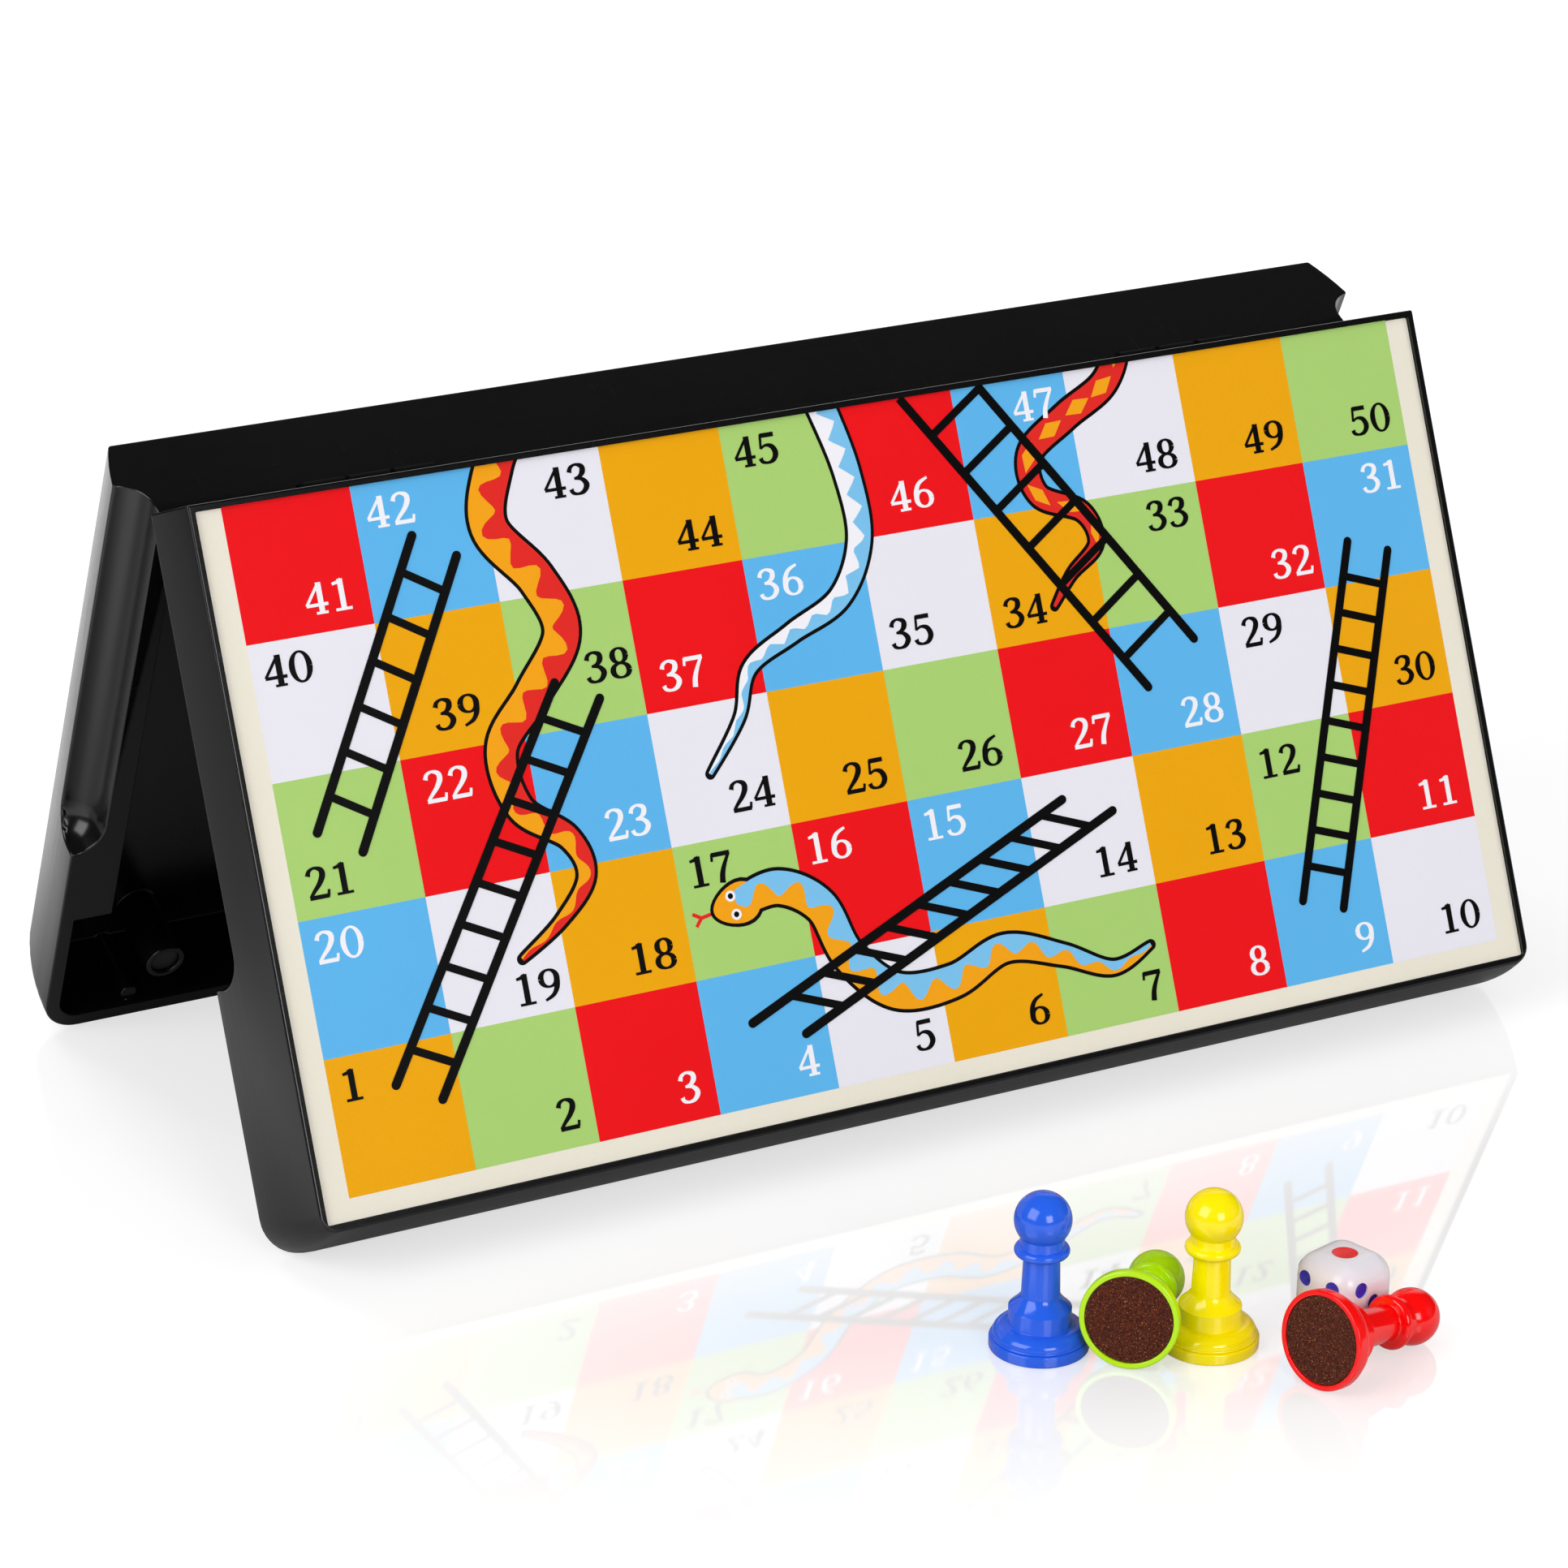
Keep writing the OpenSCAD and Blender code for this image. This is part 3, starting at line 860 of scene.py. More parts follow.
class PrintTrees:
    """Geometry trees of the print and the pads."""

    @staticmethod
    def squares() -> bpy.types.NodeTree:
        """Block of coloured squares whose five colours shift from row to row.

        Returns:
            The geometry tree.
        """
        colours = [f"Colour {k + 1}" for k in range(len(SQUARE_INKS))]
        kit = GroupKit.shape(
            "coloured_squares",
            {
                SocketKind.INT: ("Columns", "Rows", "First Row", "Row Shift"),
                SocketKind.FLOAT: ("Square", "Ink"),
                SocketKind.VECTOR: ("Corner",),
                SocketKind.MATERIAL: colours,
            },
        )
        width, height = (kit.math("MULTIPLY", kit[count], kit["Square"]) for count in ("Columns", "Rows"))
        feeds = {
            "Size X": width,
            "Size Y": height,
            "Vertices X": kit.math("ADD", kit["Columns"], 1.0),
            "Vertices Y": kit.math("ADD", kit["Rows"], 1.0),
        }
        grid = kit.add("GeometryNodeMeshGrid", feeds).outputs[0]
        middle = kit.vector("ADD", kit["Corner"], kit.half(kit.xyz(width, height)))
        placed = kit.add("GeometryNodeTransform", {"Geometry": grid, "Translation": middle}).outputs[0]
        raised = kit.add(
            "GeometryNodeExtrudeMesh", {"Mesh": placed, "Offset Scale": kit["Ink"], "Individual": False}
        )
        under = kit.add("GeometryNodeFlipFaces", {"Mesh": placed})
        whole = kit.join(raised.outputs[0], under.outputs[0])
        reach = kit.math("MULTIPLY", kit["Ink"], 0.1)
        closed = kit.add("GeometryNodeMergeByDistance", {"Geometry": whole, "Distance": reach}).outputs[0]
        away = kit.vector("SUBTRACT", kit.add("GeometryNodeInputPosition").outputs[0], kit["Corner"])
        steps = kit.vector("DIVIDE", away, kit.xyz(kit["Square"], kit["Square"], kit["Square"]))
        cell = kit.add("ShaderNodeSeparateXYZ", {0: kit.vector("FLOOR", steps)})
        row = kit.math("ADD", cell.outputs[1], kit["First Row"])
        count = kit.math("MULTIPLY_ADD", row, kit["Row Shift"], cell.outputs[0])
        which = kit.math("FLOORED_MODULO", count, float(len(colours)))
        shape = kit.add("GeometryNodeRealizeInstances", {"Geometry": closed}).outputs[0]
        for k, colour in enumerate(colours):
            feeds = {0: which, 1: float(k), 12: 0.5}
            chosen = kit.add("FunctionNodeCompare", feeds, data_type="FLOAT", operation="EQUAL").outputs[0]
            feeds = {"Geometry": shape, "Selection": chosen, "Material": kit[colour]}
            shape = kit.add("GeometryNodeSetMaterial", feeds).outputs[0]
        kit.give("Geometry", shape)
        return kit.tree

    @staticmethod
    def bar() -> bpy.types.NodeTree:
        """Flat bar of ink from one point to another.

        Returns:
            The geometry tree.
        """
        kit = GroupKit.shape(
            "ink_bar", {SocketKind.VECTOR: ("Start", "End"), SocketKind.FLOAT: ("Width", "Ink")}
        )
        run = kit.vector("SUBTRACT", kit["End"], kit["Start"])
        parts = kit.add("ShaderNodeSeparateXYZ", {0: run}).outputs
        turn = kit.xyz(z=kit.math("ARCTAN2", parts[1], parts[0]))
        middle = kit.half(kit.vector("ADD", kit["Start"], kit["End"]))
        lift = kit.xyz(z=kit.math("MULTIPLY", kit["Ink"], 0.5))
        size = kit.xyz(kit.vector("LENGTH", run), kit["Width"], kit["Ink"])
        feeds = {
            "Geometry": kit.add("GeometryNodeMeshCube", {"Size": size}).outputs[0],
            "Translation": kit.vector("ADD", middle, lift),
            "Rotation": kit.add("FunctionNodeEulerToRotation", {0: turn}).outputs[0],
        }
        kit.give("Geometry", kit.add("GeometryNodeTransform", feeds).outputs[0])
        return kit.tree

    @staticmethod
    def ladder() -> bpy.types.NodeTree:
        """Ladder of two rails with evenly spaced rungs and round rail ends.

        Returns:
            The geometry tree.
        """
        ends = ("Left Foot", "Left Head", "Right Foot", "Right Head")
        kit = GroupKit.shape(
            "printed_ladder",
            {
                SocketKind.VECTOR: (*ends, "First Rung", "Last Rung", "Rung Span"),
                SocketKind.INT: ("Rungs",),
                SocketKind.FLOAT: ("Rail Width", "Rung Width", "Ink"),
                SocketKind.BOOL: ("Round Feet", "Round Heads"),
                SocketKind.MATERIAL: ("Colour",),
            },
        )
        bar = PrintTrees.bar()
        lower_ink = kit.math("MULTIPLY", kit["Ink"], 0.8)

        def add_bar(start: object, end: object, width: str, ink: object) -> bpy.types.NodeSocket:
            """Adds one bar between two points."""
            feeds = {"Start": start, "End": end, "Width": kit[width], "Ink": ink}
            return kit.add("GeometryNodeGroup", feeds, node_tree=bar).outputs[0]

        def row(start: object, end: object, count: object, shape: object) -> bpy.types.NodeSocket:
            """Repeats a shape from one point to another."""
            line = kit.add("GeometryNodeMeshLine", {0: count, 2: start, 3: end}, mode="END_POINTS").outputs[0]
            return kit.add("GeometryNodeInstanceOnPoints", {"Points": line, "Instance": shape}).outputs[0]

        rails = [
            add_bar(kit[f"{side} Foot"], kit[f"{side} Head"], "Rail Width", kit["Ink"])
            for side in ("Left", "Right")
        ]
        rung = add_bar((0, 0, 0), kit["Rung Span"], "Rung Width", lower_ink)
        rungs = row(kit["First Rung"], kit["Last Rung"], kit["Rungs"], rung)
        feeds = {"Vertices": 20, "Radius": kit.math("MULTIPLY", kit["Rail Width"], 0.5), "Depth": lower_ink}
        dot = kit.add("GeometryNodeMeshCylinder", feeds).outputs[0]
        lift = kit.xyz(z=kit.math("MULTIPLY", lower_ink, 0.5))
        lifted = kit.add("GeometryNodeTransform", {"Geometry": dot, "Translation": lift}).outputs[0]
        caps = []
        for end, wanted in (("Foot", "Round Feet"), ("Head", "Round Heads")):
            pair = row(kit[f"Left {end}"], kit[f"Right {end}"], 2, lifted)
            caps.append(kit.add("GeometryNodeSwitch", {"Switch": kit[wanted], "True": pair}).outputs[0])
        return kit.finish(kit.join(*rails, rungs, *caps))

    @staticmethod
    def numbers() -> bpy.types.NodeTree:
        """Figures on points, each picked by the point's figure attribute.

        Returns:
            The geometry tree.
        """
        kit = GroupKit.shape(
            "printed_numbers",
            {
                SocketKind.GEOMETRY: ("Geometry",),
                SocketKind.COLLECTION: ("Figures",),
                SocketKind.MATERIAL: ("Colour",),
            },
        )
        figures = kit.add("GeometryNodeCollectionInfo", {0: kit["Figures"], 1: True, 2: True})
        which = kit.add("GeometryNodeInputNamedAttribute", {"Name": "figure"}, data_type="INT")
        feeds = {
            "Points": kit["Geometry"],
            "Instance": figures.outputs[0],
            "Pick Instance": True,
            "Instance Index": which.outputs[0],
        }
        return kit.finish(kit.add("GeometryNodeInstanceOnPoints", feeds).outputs[0])

    @staticmethod
    def flock() -> bpy.types.NodeTree:
        """Tufts of flock scattered over the faces that look one way.

        Returns:
            The geometry tree.
        """
        kit = GroupKit.shape(
            "flock_tufts",
            {
                SocketKind.GEOMETRY: ("Geometry",),
                SocketKind.VECTOR: ("Facing",),
                SocketKind.FLOAT: ("Density", "Tuft"),
                SocketKind.INT: ("Seed",),
                SocketKind.MATERIAL: ("Colour",),
            },
        )
        faced = kit.vector("DOT_PRODUCT", kit.add("GeometryNodeInputNormal").outputs[0], kit["Facing"])
        feeds = {
            "Mesh": kit["Geometry"],
            "Selection": kit.math("GREATER_THAN", faced, 0.9),
            "Density": kit["Density"],
            "Seed": kit["Seed"],
        }
        points = kit.add("GeometryNodeDistributePointsOnFaces", feeds).outputs[0]
        tuft = kit.add("GeometryNodeMeshIcoSphere", {"Radius": kit["Tuft"], "Subdivisions": 1}).outputs[0]
        feeds = {2: 0.55, 3: 1.15, "Seed": kit["Seed"]}
        size = kit.add("FunctionNodeRandomValue", feeds, data_type="FLOAT").outputs[1]
        feeds = {"Points": points, "Instance": tuft, "Scale": size}
        tufts = kit.add("GeometryNodeInstanceOnPoints", feeds).outputs[0]
        return kit.finish(kit.join(kit["Geometry"], tufts))


class Half(Enum):
    """The two halves of the board."""

    FRONT = "front"
    BACK = "back"


@dataclass(frozen=True)
class BoardLayout:
    """Where the print lies on the two halves, with the open board flat and its hinge on the X axis."""

    square: float = 18.5 * MM
    columns: int = 10
    rows: int = 5
    hinge_margin: float = 1.0 * MM
    row_shift: int = 3

    def matrix(self, half: Half) -> Matrix:
        """Stands one half of the flat board up as a side of the tent.

        Args:
            half: Which half.

        Returns:
            The move from the flat board to the half's place at rest.
        """
        fold = next(joint for joint in frame["joints"] if joint["name"] == "fold")
        lean = math.radians(90 + fold["range_deg"][0] / 2)
        turn = lean if half is Half.FRONT else -lean
        return Matrix.Translation(fold["pos_m"]) @ Matrix.Rotation(turn, 4, "X")

    def print_height(self, half: Half) -> float:
        """Height of the print's face over the hinge on the flat board."""
        back = self.matrix(half).inverted()
        sheet = frame["nodes"][f"{half.value}_print_sheet"]
        return max((back @ vertex.co).z for vertex in sheet.data.vertices)

    def limits(self, half: Half) -> tuple[float, float]:
        """Lowest and highest row line of one half, in squares."""
        return (0.0, float(self.rows)) if half is Half.FRONT else (float(self.rows), 2.0 * self.rows)

    def shift(self, half: Half) -> Vector:
        """Place of the first square line's left end, in metres, so that squares count from it."""
        gap = -self.hinge_margin if half is Half.FRONT else self.hinge_margin
        return Vector((-self.columns / 2 * self.square, gap - self.rows * self.square, 0))

    def spot(self, half: Half, at: Point) -> Vector:
        """Place on the flat board of a point in squares."""
        return self.shift(half) + Vector((at[0], at[1], 0)) * self.square

    def column(self, number: int) -> int:
        """Column of a numbered square, on rows that run to and fro."""
        row, step = divmod(number - 1, self.columns)
        return step if row % 2 == 0 else self.columns - 1 - step

    def colour(self, number: int) -> int:
        """Which of the five colours a numbered square has."""
        row = (number - 1) // self.columns
        return (self.column(number) + self.row_shift * row) % len(SQUARE_INKS)


class Corner(Enum):
    """Places of a number in its square, as shares of the square."""

    LOWER_RIGHT = (0.69, 0.25)
    UPPER_RIGHT = (0.7, 0.79)
    LOWER_LEFT = (0.3, 0.25)
    UPPER_LEFT = (0.28, 0.79)
    LOWER_MIDDLE = (0.51, 0.27)
    RIGHT = (0.76, 0.41)


NUMBER_CORNERS: dict[Corner, tuple[int, ...]] = {
    Corner.UPPER_LEFT: (1, 12, 15, 16, 17, 20, 22, 29, 36, 40, 42, 45, 73, 84, 87, 91, 93, 98),
    Corner.UPPER_RIGHT: (31, 33, 43, 47, 60, 79, 100),
    Corner.LOWER_LEFT: (21, 34, 35, 37, 62, 67, 71, 75, 86, 90, 95),
    Corner.LOWER_MIDDLE: (39, 46),
    Corner.RIGHT: (38,),
}

NUMBER_NUDGES: dict[int, Point] = {
    7: (0.03, -0.01),
    12: (0.01, -0.05),
    19: (0.05, -0.05),
    22: (0.05, -0.02),
    24: (0.04, 0.03),
    29: (0.08, -0.02),
    32: (0.05, 0.0),
    37: (0.05, 0.0),
}


@dataclass(frozen=True)
class Ladder:
    """A printed ladder: its left rail's ends and the step to its right rail, in squares."""

    foot: Point
    head: Point
    span: Point
    rungs: int
    first: float = 0.28
    last: float = 0.28

    def along(self, share: float, side: float) -> Point:
        """Point at a share of the length, on the left rail for side 0 and the right one for side 1."""
        return tuple(f + (h - f) * share + s * side for f, h, s in zip(self.foot, self.head, self.span))

    def rung_shares(self) -> list[float]:
        """Shares of the length at which the rungs lie."""
        length = math.dist(self.foot, self.head)
        start, end = self.first / length, 1 - self.last / length
        return [start + (end - start) * k / (self.rungs - 1) for k in range(self.rungs)]

    def part(self, low: float, high: float) -> tuple[dict[str, Point], list[float]]:
        """The part of the ladder between two row lines.

        Args:
            low: Lower row line.
            high: Upper row line.

        Returns:
            The ends of its two rails by name, and the shares of the rungs that lie in it whole.
        """
        ends = {}
        rise = self.head[1] - self.foot[1]
        for side, name in enumerate(("Left", "Right")):
            base = self.foot[1] + self.span[1] * side
            ends[f"{name} Foot"] = self.along(max(0.0, (low - base) / rise), side)
            ends[f"{name} Head"] = self.along(min(1.0, (high - base) / rise), side)
        whole = [
            share
            for share in self.rung_shares()
            if all(low <= self.along(share, side)[1] <= high for side in (0, 1))
        ]
        return ends, whole


LADDERS: tuple[Ladder, ...] = (
    Ladder((0.51, 0.72), (2.31, 3.35), (0.335, -0.17), 9),
    Ladder((3.39, 0.61), (6.32, 1.78), (0.42, -0.16), 9, first=0.38, last=0.23),
    Ladder((8.28, 0.63), (9.28, 3.33), (0.355, -0.125), 9),
    Ladder((0.27, 2.6), (1.41, 4.58), (0.318, -0.195), 6),
    Ladder((7.25, 2.5), (3.21, 8.45), (0.482, 0.302), 18, first=0.3),
    Ladder((9.15, 5.42), (6.62, 6.5), (0.14, 0.33), 7),
    Ladder((9.5, 7.45), (9.5, 9.45), (0.34, 0.0), 6),
    Ladder((0.14, 7.5), (0.14, 9.45), (0.34, 0.0), 6),
)


class SnakePattern(Enum):
    """How a snake's second colour lies on its body."""

    WAVES = "waves"
    ZIGZAG = "zigzag"
    DIAMONDS = "diamonds"
    DOTS = "dots"


@dataclass(frozen=True)
class Snake:
    """A printed snake: a path in squares from its head to its tail, and its colours."""

    path: tuple[Point, ...]
    body: PrintInk
    mark: PrintInk
    pattern: SnakePattern
    half: float = 0.13
    line: float = 0.028
    head_len: float = 0.2
    eye: float = 0.042
    pupil: float = 0.022
    tail_from: float = 0.45
    tail_loss: float = 0.88
    neck_loss: float = 0.3
    tongue_len: float = 0.13
    tongue_half: float = 0.014

    def dabs(self, grow: float = 0.0) -> list[Dab]:
        """The body as a stroke that tapers to the tail, wider by grow on both sides."""
        spine = smooth_path(self.path, 14)
        dabs = []
        for k, (x, y) in enumerate(spine):
            share = k / (len(spine) - 1)
            tail = self.tail_loss * max(0.0, (share - self.tail_from) / (1 - self.tail_from)) ** 1.5
            neck = self.neck_loss * math.exp(-16 * share)
            dabs.append(Dab(x, y, self.half * (1 - tail - neck) + grow))
        return dabs

    def head_frame(self) -> tuple[Vector, Vector, Vector]:
        """Middle of the head, its way forward and its left."""
        neck, start = Vector(self.path[1]), Vector(self.path[0])
        ahead = (start - neck).normalized()
        return start, ahead, Vector((-ahead.y, ahead.x))

    def head(self, grow: float) -> list[Point]:
        """Outline of the head, an egg with its narrow end in front."""
        middle, ahead, side = self.head_frame()
        ring, corners = [], 28
        for k in range(corners):
            a = math.tau * k / corners
            reach = (self.head_len + grow) * math.cos(a)
            wide = (self.half * 1.15 + grow) * math.sin(a) * (1 - 0.22 * math.cos(a))
            ring.append(tuple(middle + ahead * reach + side * wide))
        return ring

    def outline(self) -> InkShape:
        """Dark shape under the body that leaves a line round it."""
        shape = InkShape()
        shape.stroke(self.dabs(self.line))
        end = self.dabs(self.line)[-1]
        shape.disc((end.x, end.y), end.half)
        shape.patches.append(self.head(self.line))
        return shape

    def filling(self) -> InkShape:
        """The body's own colour."""
        shape = InkShape()
        shape.stroke(self.dabs())
        shape.patches.append(self.head(0.0))
        return shape

    def marking(self) -> InkShape:
        """The second colour on the body.

        Returns:
            The pattern's shape.
        """
        shape = InkShape()
        dabs = self.dabs()
        left, right = stroke_edges(dabs)
        run = [0.0]
        for a, b in zip(dabs, dabs[1:]):
            run.append(run[-1] + math.dist(a[:2], b[:2]))
        if self.pattern in (SnakePattern.WAVES, SnakePattern.ZIGZAG):
            inner = []
            for distance, a, b in zip(run, left, right):
                phase = distance / (0.3 if self.pattern is SnakePattern.WAVES else 0.22)
                swing = math.sin(math.tau * phase)
                if self.pattern is SnakePattern.ZIGZAG:
                    swing = math.asin(swing) * 2 / math.pi
                inner.append(tuple(Vector(a).lerp(Vector(b), 0.5 + 0.27 * swing)))
            shape.ribbon(left, inner)
            return shape
        step, due = (0.3, 0.35) if self.pattern is SnakePattern.DIAMONDS else (0.2, 0.3)
        for k, distance in enumerate(run[:-1]):
            if distance < due or distance > run[-1] - 0.25:
                continue
            due += step
            x, y, half = dabs[k]
            ahead = (Vector(dabs[k + 1][:2]) - Vector((x, y))).normalized()
            if self.pattern is SnakePattern.DOTS:
                shape.disc((x, y), 0.42 * half, 14)
                continue
            side = Vector((-ahead.y, ahead.x)) * half * 0.62
            tip = ahead * 0.42 * step
            shape.patches.append([tuple(Vector((x, y)) + way) for way in (tip, side, -tip, -side)])
        return shape

    def eyes(self, radius: float) -> InkShape:
        """Two round spots on the head."""
        middle, ahead, side = self.head_frame()
        shape = InkShape()
        for way in (-1, 1):
            shape.disc(tuple(middle + ahead * 0.03 + side * way * self.half * 0.55), radius, 14)
        return shape

    def tongue(self) -> InkShape:
        """Thin forked tongue in front of the head."""
        middle, ahead, side = self.head_frame()
        root = middle + ahead * self.head_len * 0.9
        fork = root + ahead * self.tongue_len
        tips = [fork + ahead * 0.06 + side * way for way in (0.05, -0.05)]
        shape = InkShape()
        for a, b in ((root, fork), (fork, tips[0]), (fork, tips[1])):
            shape.stroke([Dab(*a, self.tongue_half), Dab(*b, self.tongue_half)])
        return shape


SNAKES: tuple[Snake, ...] = (
    Snake(
        (
            (3.44, 1.5), (3.8, 1.56), (4.12, 1.36), (4.28, 0.95), (4.62, 0.62), (5.12, 0.6),
            (5.6, 0.76), (6.08, 0.62), (6.5, 0.44), (6.86, 0.55),
        ),
        INK_ORANGE,
        INK_SKY,
        SnakePattern.WAVES,
    ),
    Snake(
        (
            (1.42, 6.62), (1.9, 6.4), (2.38, 6.02), (2.45, 5.5), (2.15, 5.0), (2.02, 4.55),
            (2.32, 4.12), (2.44, 3.7), (2.12, 3.3), (1.8, 2.95), (1.86, 2.5), (2.2, 2.22),
            (2.28, 1.92), (2.02, 1.64), (1.66, 1.42),
        ),
        INK_ORANGE,
        INK_RED,
        SnakePattern.WAVES,
        half=0.14,
    ),
    Snake(
        (
            (6.45, 8.58), (6.75, 8.1), (6.4, 7.62), (6.5, 7.1), (6.1, 6.62), (5.5, 6.3),
            (5.0, 5.9), (4.75, 5.45), (4.89, 5.0), (5.0, 4.5), (5.0, 4.0), (4.75, 3.6),
            (4.3, 3.4), (3.9, 3.2), (3.74, 2.85), (3.42, 2.48),
        ),
        INK_WHITE,
        INK_SKY,
        SnakePattern.ZIGZAG,
        half=0.12,
    ),
    Snake(
        (
            (6.4, 5.62), (6.85, 5.76), (7.35, 5.6), (7.52, 5.22), (7.36, 4.88), (6.95, 4.66),
            (6.58, 4.42), (6.6, 4.1), (6.95, 3.92), (7.02, 3.66), (6.76, 3.46), (6.56, 3.24),
        ),
        INK_RED,
        INK_ORANGE,
        SnakePattern.DIAMONDS,
        half=0.1,
    ),
    Snake(
        ((3.5, 6.55), (2.95, 6.85), (2.2, 6.95), (1.4, 7.06), (0.85, 6.8), (0.6, 6.2), (0.5, 5.6)),
        INK_LEAF,
        INK_ORANGE,
        SnakePattern.DOTS,
        half=0.12,
    ),
    Snake(
        ((7.5, 9.5), (7.28, 9.1), (7.7, 8.7), (7.4, 8.25), (7.6, 7.85), (7.45, 7.5)),
        INK_SKY,
        INK_WHITE,
        SnakePattern.DIAMONDS,
        half=0.12,
    ),
    Snake(
        ((5.5, 9.5), (5.2, 9.1), (5.65, 8.7), (5.3, 8.25), (5.6, 7.9), (5.45, 7.5)),
        INK_RED,
        INK_WHITE,
        SnakePattern.DOTS,
        half=0.12,
    ),
    Snake(
        ((2.5, 9.5), (2.3, 9.05), (2.6, 8.6), (2.2, 8.2), (1.9, 7.85), (1.5, 7.5)),
        INK_LEAF,
        INK_WHITE,
        SnakePattern.WAVES,
        half=0.12,
    ),
)


@dataclass
class PrintedFace:
    """The printed playing face of one half: squares, snakes, ladders and numbers in thin layers of ink."""

    half: Half
    layout: BoardLayout
    figures: Mapping[bool, bpy.types.Collection]
    layer: float = 0.012 * MM
    square_ink: float = 0.02 * MM
    number_height: float = 4.3 * MM
    advance: float = 0.85
    long_inset: float = 0.1
    ladder_ink: float = 0.11 * MM
    rail_width: float = 1.3 * MM
    rung_width: float = 1.12 * MM

    def stand(self, piece: bpy.types.Object) -> None:
        """Moves a piece from the flat board to the half and lets it ride there.

        Args:
            piece: The piece on the flat board, its ink from height 0.
        """
        lift = Matrix.Translation((0, 0, self.layout.print_height(self.half)))
        piece.data.transform(self.layout.matrix(self.half) @ lift)
        hand_over(piece, f"{self.half.value}_half", "print_sheet")

    def squares(self) -> None:
        """Builds the block of coloured squares."""
        piece = Meshes.piece(f"{self.half.value}_squares", bmesh.new())
        low, _ = self.layout.limits(self.half)
        values = {
            "Columns": self.layout.columns,
            "Rows": self.layout.rows,
            "First Row": int(low),
            "Row Shift": self.layout.row_shift,
            "Square": self.layout.square,
            "Ink": self.square_ink,
            "Corner": tuple(self.layout.spot(self.half, (0.0, low))),
            **{f"Colour {k + 1}": ink.material() for k, ink in enumerate(SQUARE_INKS)},
        }
        Meshes.grow(piece, PrintTrees.squares(), values)
        self.stand(piece)

    def ladders(self) -> None:
        """Builds the ladders that lie on this half."""
        low, high = self.layout.limits(self.half)
        tree = PrintTrees.ladder()
        for k, ladder in enumerate(LADDERS):
            ends, shares = ladder.part(low, high)
            if not shares:
                continue
            spots = {name: tuple(self.layout.spot(self.half, at)) for name, at in ends.items()}
            rungs = [tuple(self.layout.spot(self.half, ladder.along(s, 0))) for s in (shares[0], shares[-1])]
            piece = Meshes.piece(f"{self.half.value}_ladder_{k + 1}", bmesh.new())
            values = {
                **spots,
                "First Rung": rungs[0],
                "Last Rung": rungs[1],
                "Rung Span": (ladder.span[0] * self.layout.square, ladder.span[1] * self.layout.square, 0.0),
                "Rungs": len(shares),
                "Rail Width": self.rail_width,
                "Rung Width": self.rung_width,
                "Ink": self.ladder_ink,
                "Round Feet": ladder.foot[1] >= low,
                "Round Heads": ladder.head[1] <= high,
                "Colour": INK_BLACK.material(),
            }
            Meshes.grow(piece, tree, values)
            self.stand(piece)

    def snakes(self) -> None:
        """Builds the snakes that lie on this half, each in its own colours."""
        low, high = self.layout.limits(self.half)
        size = self.layout.square
        place = Matrix.Translation(self.layout.shift(self.half)) @ Matrix.Diagonal((size, size, 1, 1))
        for k, snake in enumerate(SNAKES):
            layers = (
                (INK_RED, snake.tongue()),
                (INK_BLACK, snake.outline()),
                (snake.body, snake.filling()),
                (snake.mark, snake.marking()),
                (INK_WHITE, snake.eyes(snake.eye)),
                (INK_BLACK, snake.eyes(snake.pupil)),
            )
            bm = bmesh.new()
            for slot, (_, shape) in enumerate(layers):
                shape.cut(low, high).press(bm, 0.0, self.square_ink + self.layer * (slot + 1), slot)
            if not bm.faces:
                bm.free()
                continue
            bmesh.ops.transform(bm, matrix=place, verts=bm.verts)
            inks = [ink.material() for ink, _ in layers]
            self.stand(Meshes.piece(f"{self.half.value}_snake_{k + 1}", bm, *inks))

    def numbers(self) -> None:
        """Builds the dark and the light numbers of this half."""
        corners = {number: corner for corner, numbers in NUMBER_CORNERS.items() for number in numbers}
        low, high = (int(limit) * self.layout.columns for limit in self.layout.limits(self.half))
        tree = PrintTrees.numbers()
        step = self.advance * self.number_height
        for light, ink in ((False, INK_BLACK), (True, INK_WHITE)):
            bm = bmesh.new()
            figure = bm.verts.layers.int.new("figure")
            for number in range(low + 1, high + 1):
                if (self.layout.colour(number) in LIGHT_NUMBERED) is not light:
                    continue
                corner = corners.get(number, Corner.LOWER_RIGHT)
                digits = str(number)
                right, up = corner.value
                inset = self.long_inset * (len(digits) - 2) * (1 if right > 0.5 else -1)
                row = (number - 1) // self.layout.columns
                nudge = NUMBER_NUDGES.get(number, (0.0, 0.0))
                at = (self.layout.column(number) + right - inset + nudge[0], row + up + nudge[1])
                middle = self.layout.spot(self.half, at)
                for k, digit in enumerate(digits):
                    shift = Vector(((k - (len(digits) - 1) / 2) * step, 0, 0))
                    bm.verts.new(middle + shift)[figure] = int(digit)
            piece = Meshes.piece(f"{self.half.value}_{'light' if light else 'dark'}_numbers", bm)
            Meshes.grow(piece, tree, {"Figures": self.figures[light], "Colour": ink.material()})
            self.stand(piece)

    def build(self) -> None:
        """Builds the whole print and finishes the sheet below it."""
        dress_node(f"{self.half.value}_print_sheet", CREAM_BASE.material())
        self.squares()
        self.snakes()
        self.ladders()
        self.numbers()


def dress_node(name: str, material: bpy.types.Material) -> None:
    """Gives a CAD node's object one material in all its slots.

    Args:
        name: Name of the node.
        material: The material.
    """
    node = frame["nodes"][name]
    if not node.material_slots:
        node.data.materials.append(material)
    for slot in node.material_slots:
        slot.material = material
    LOG.info("node %s: %s", name, material.name)


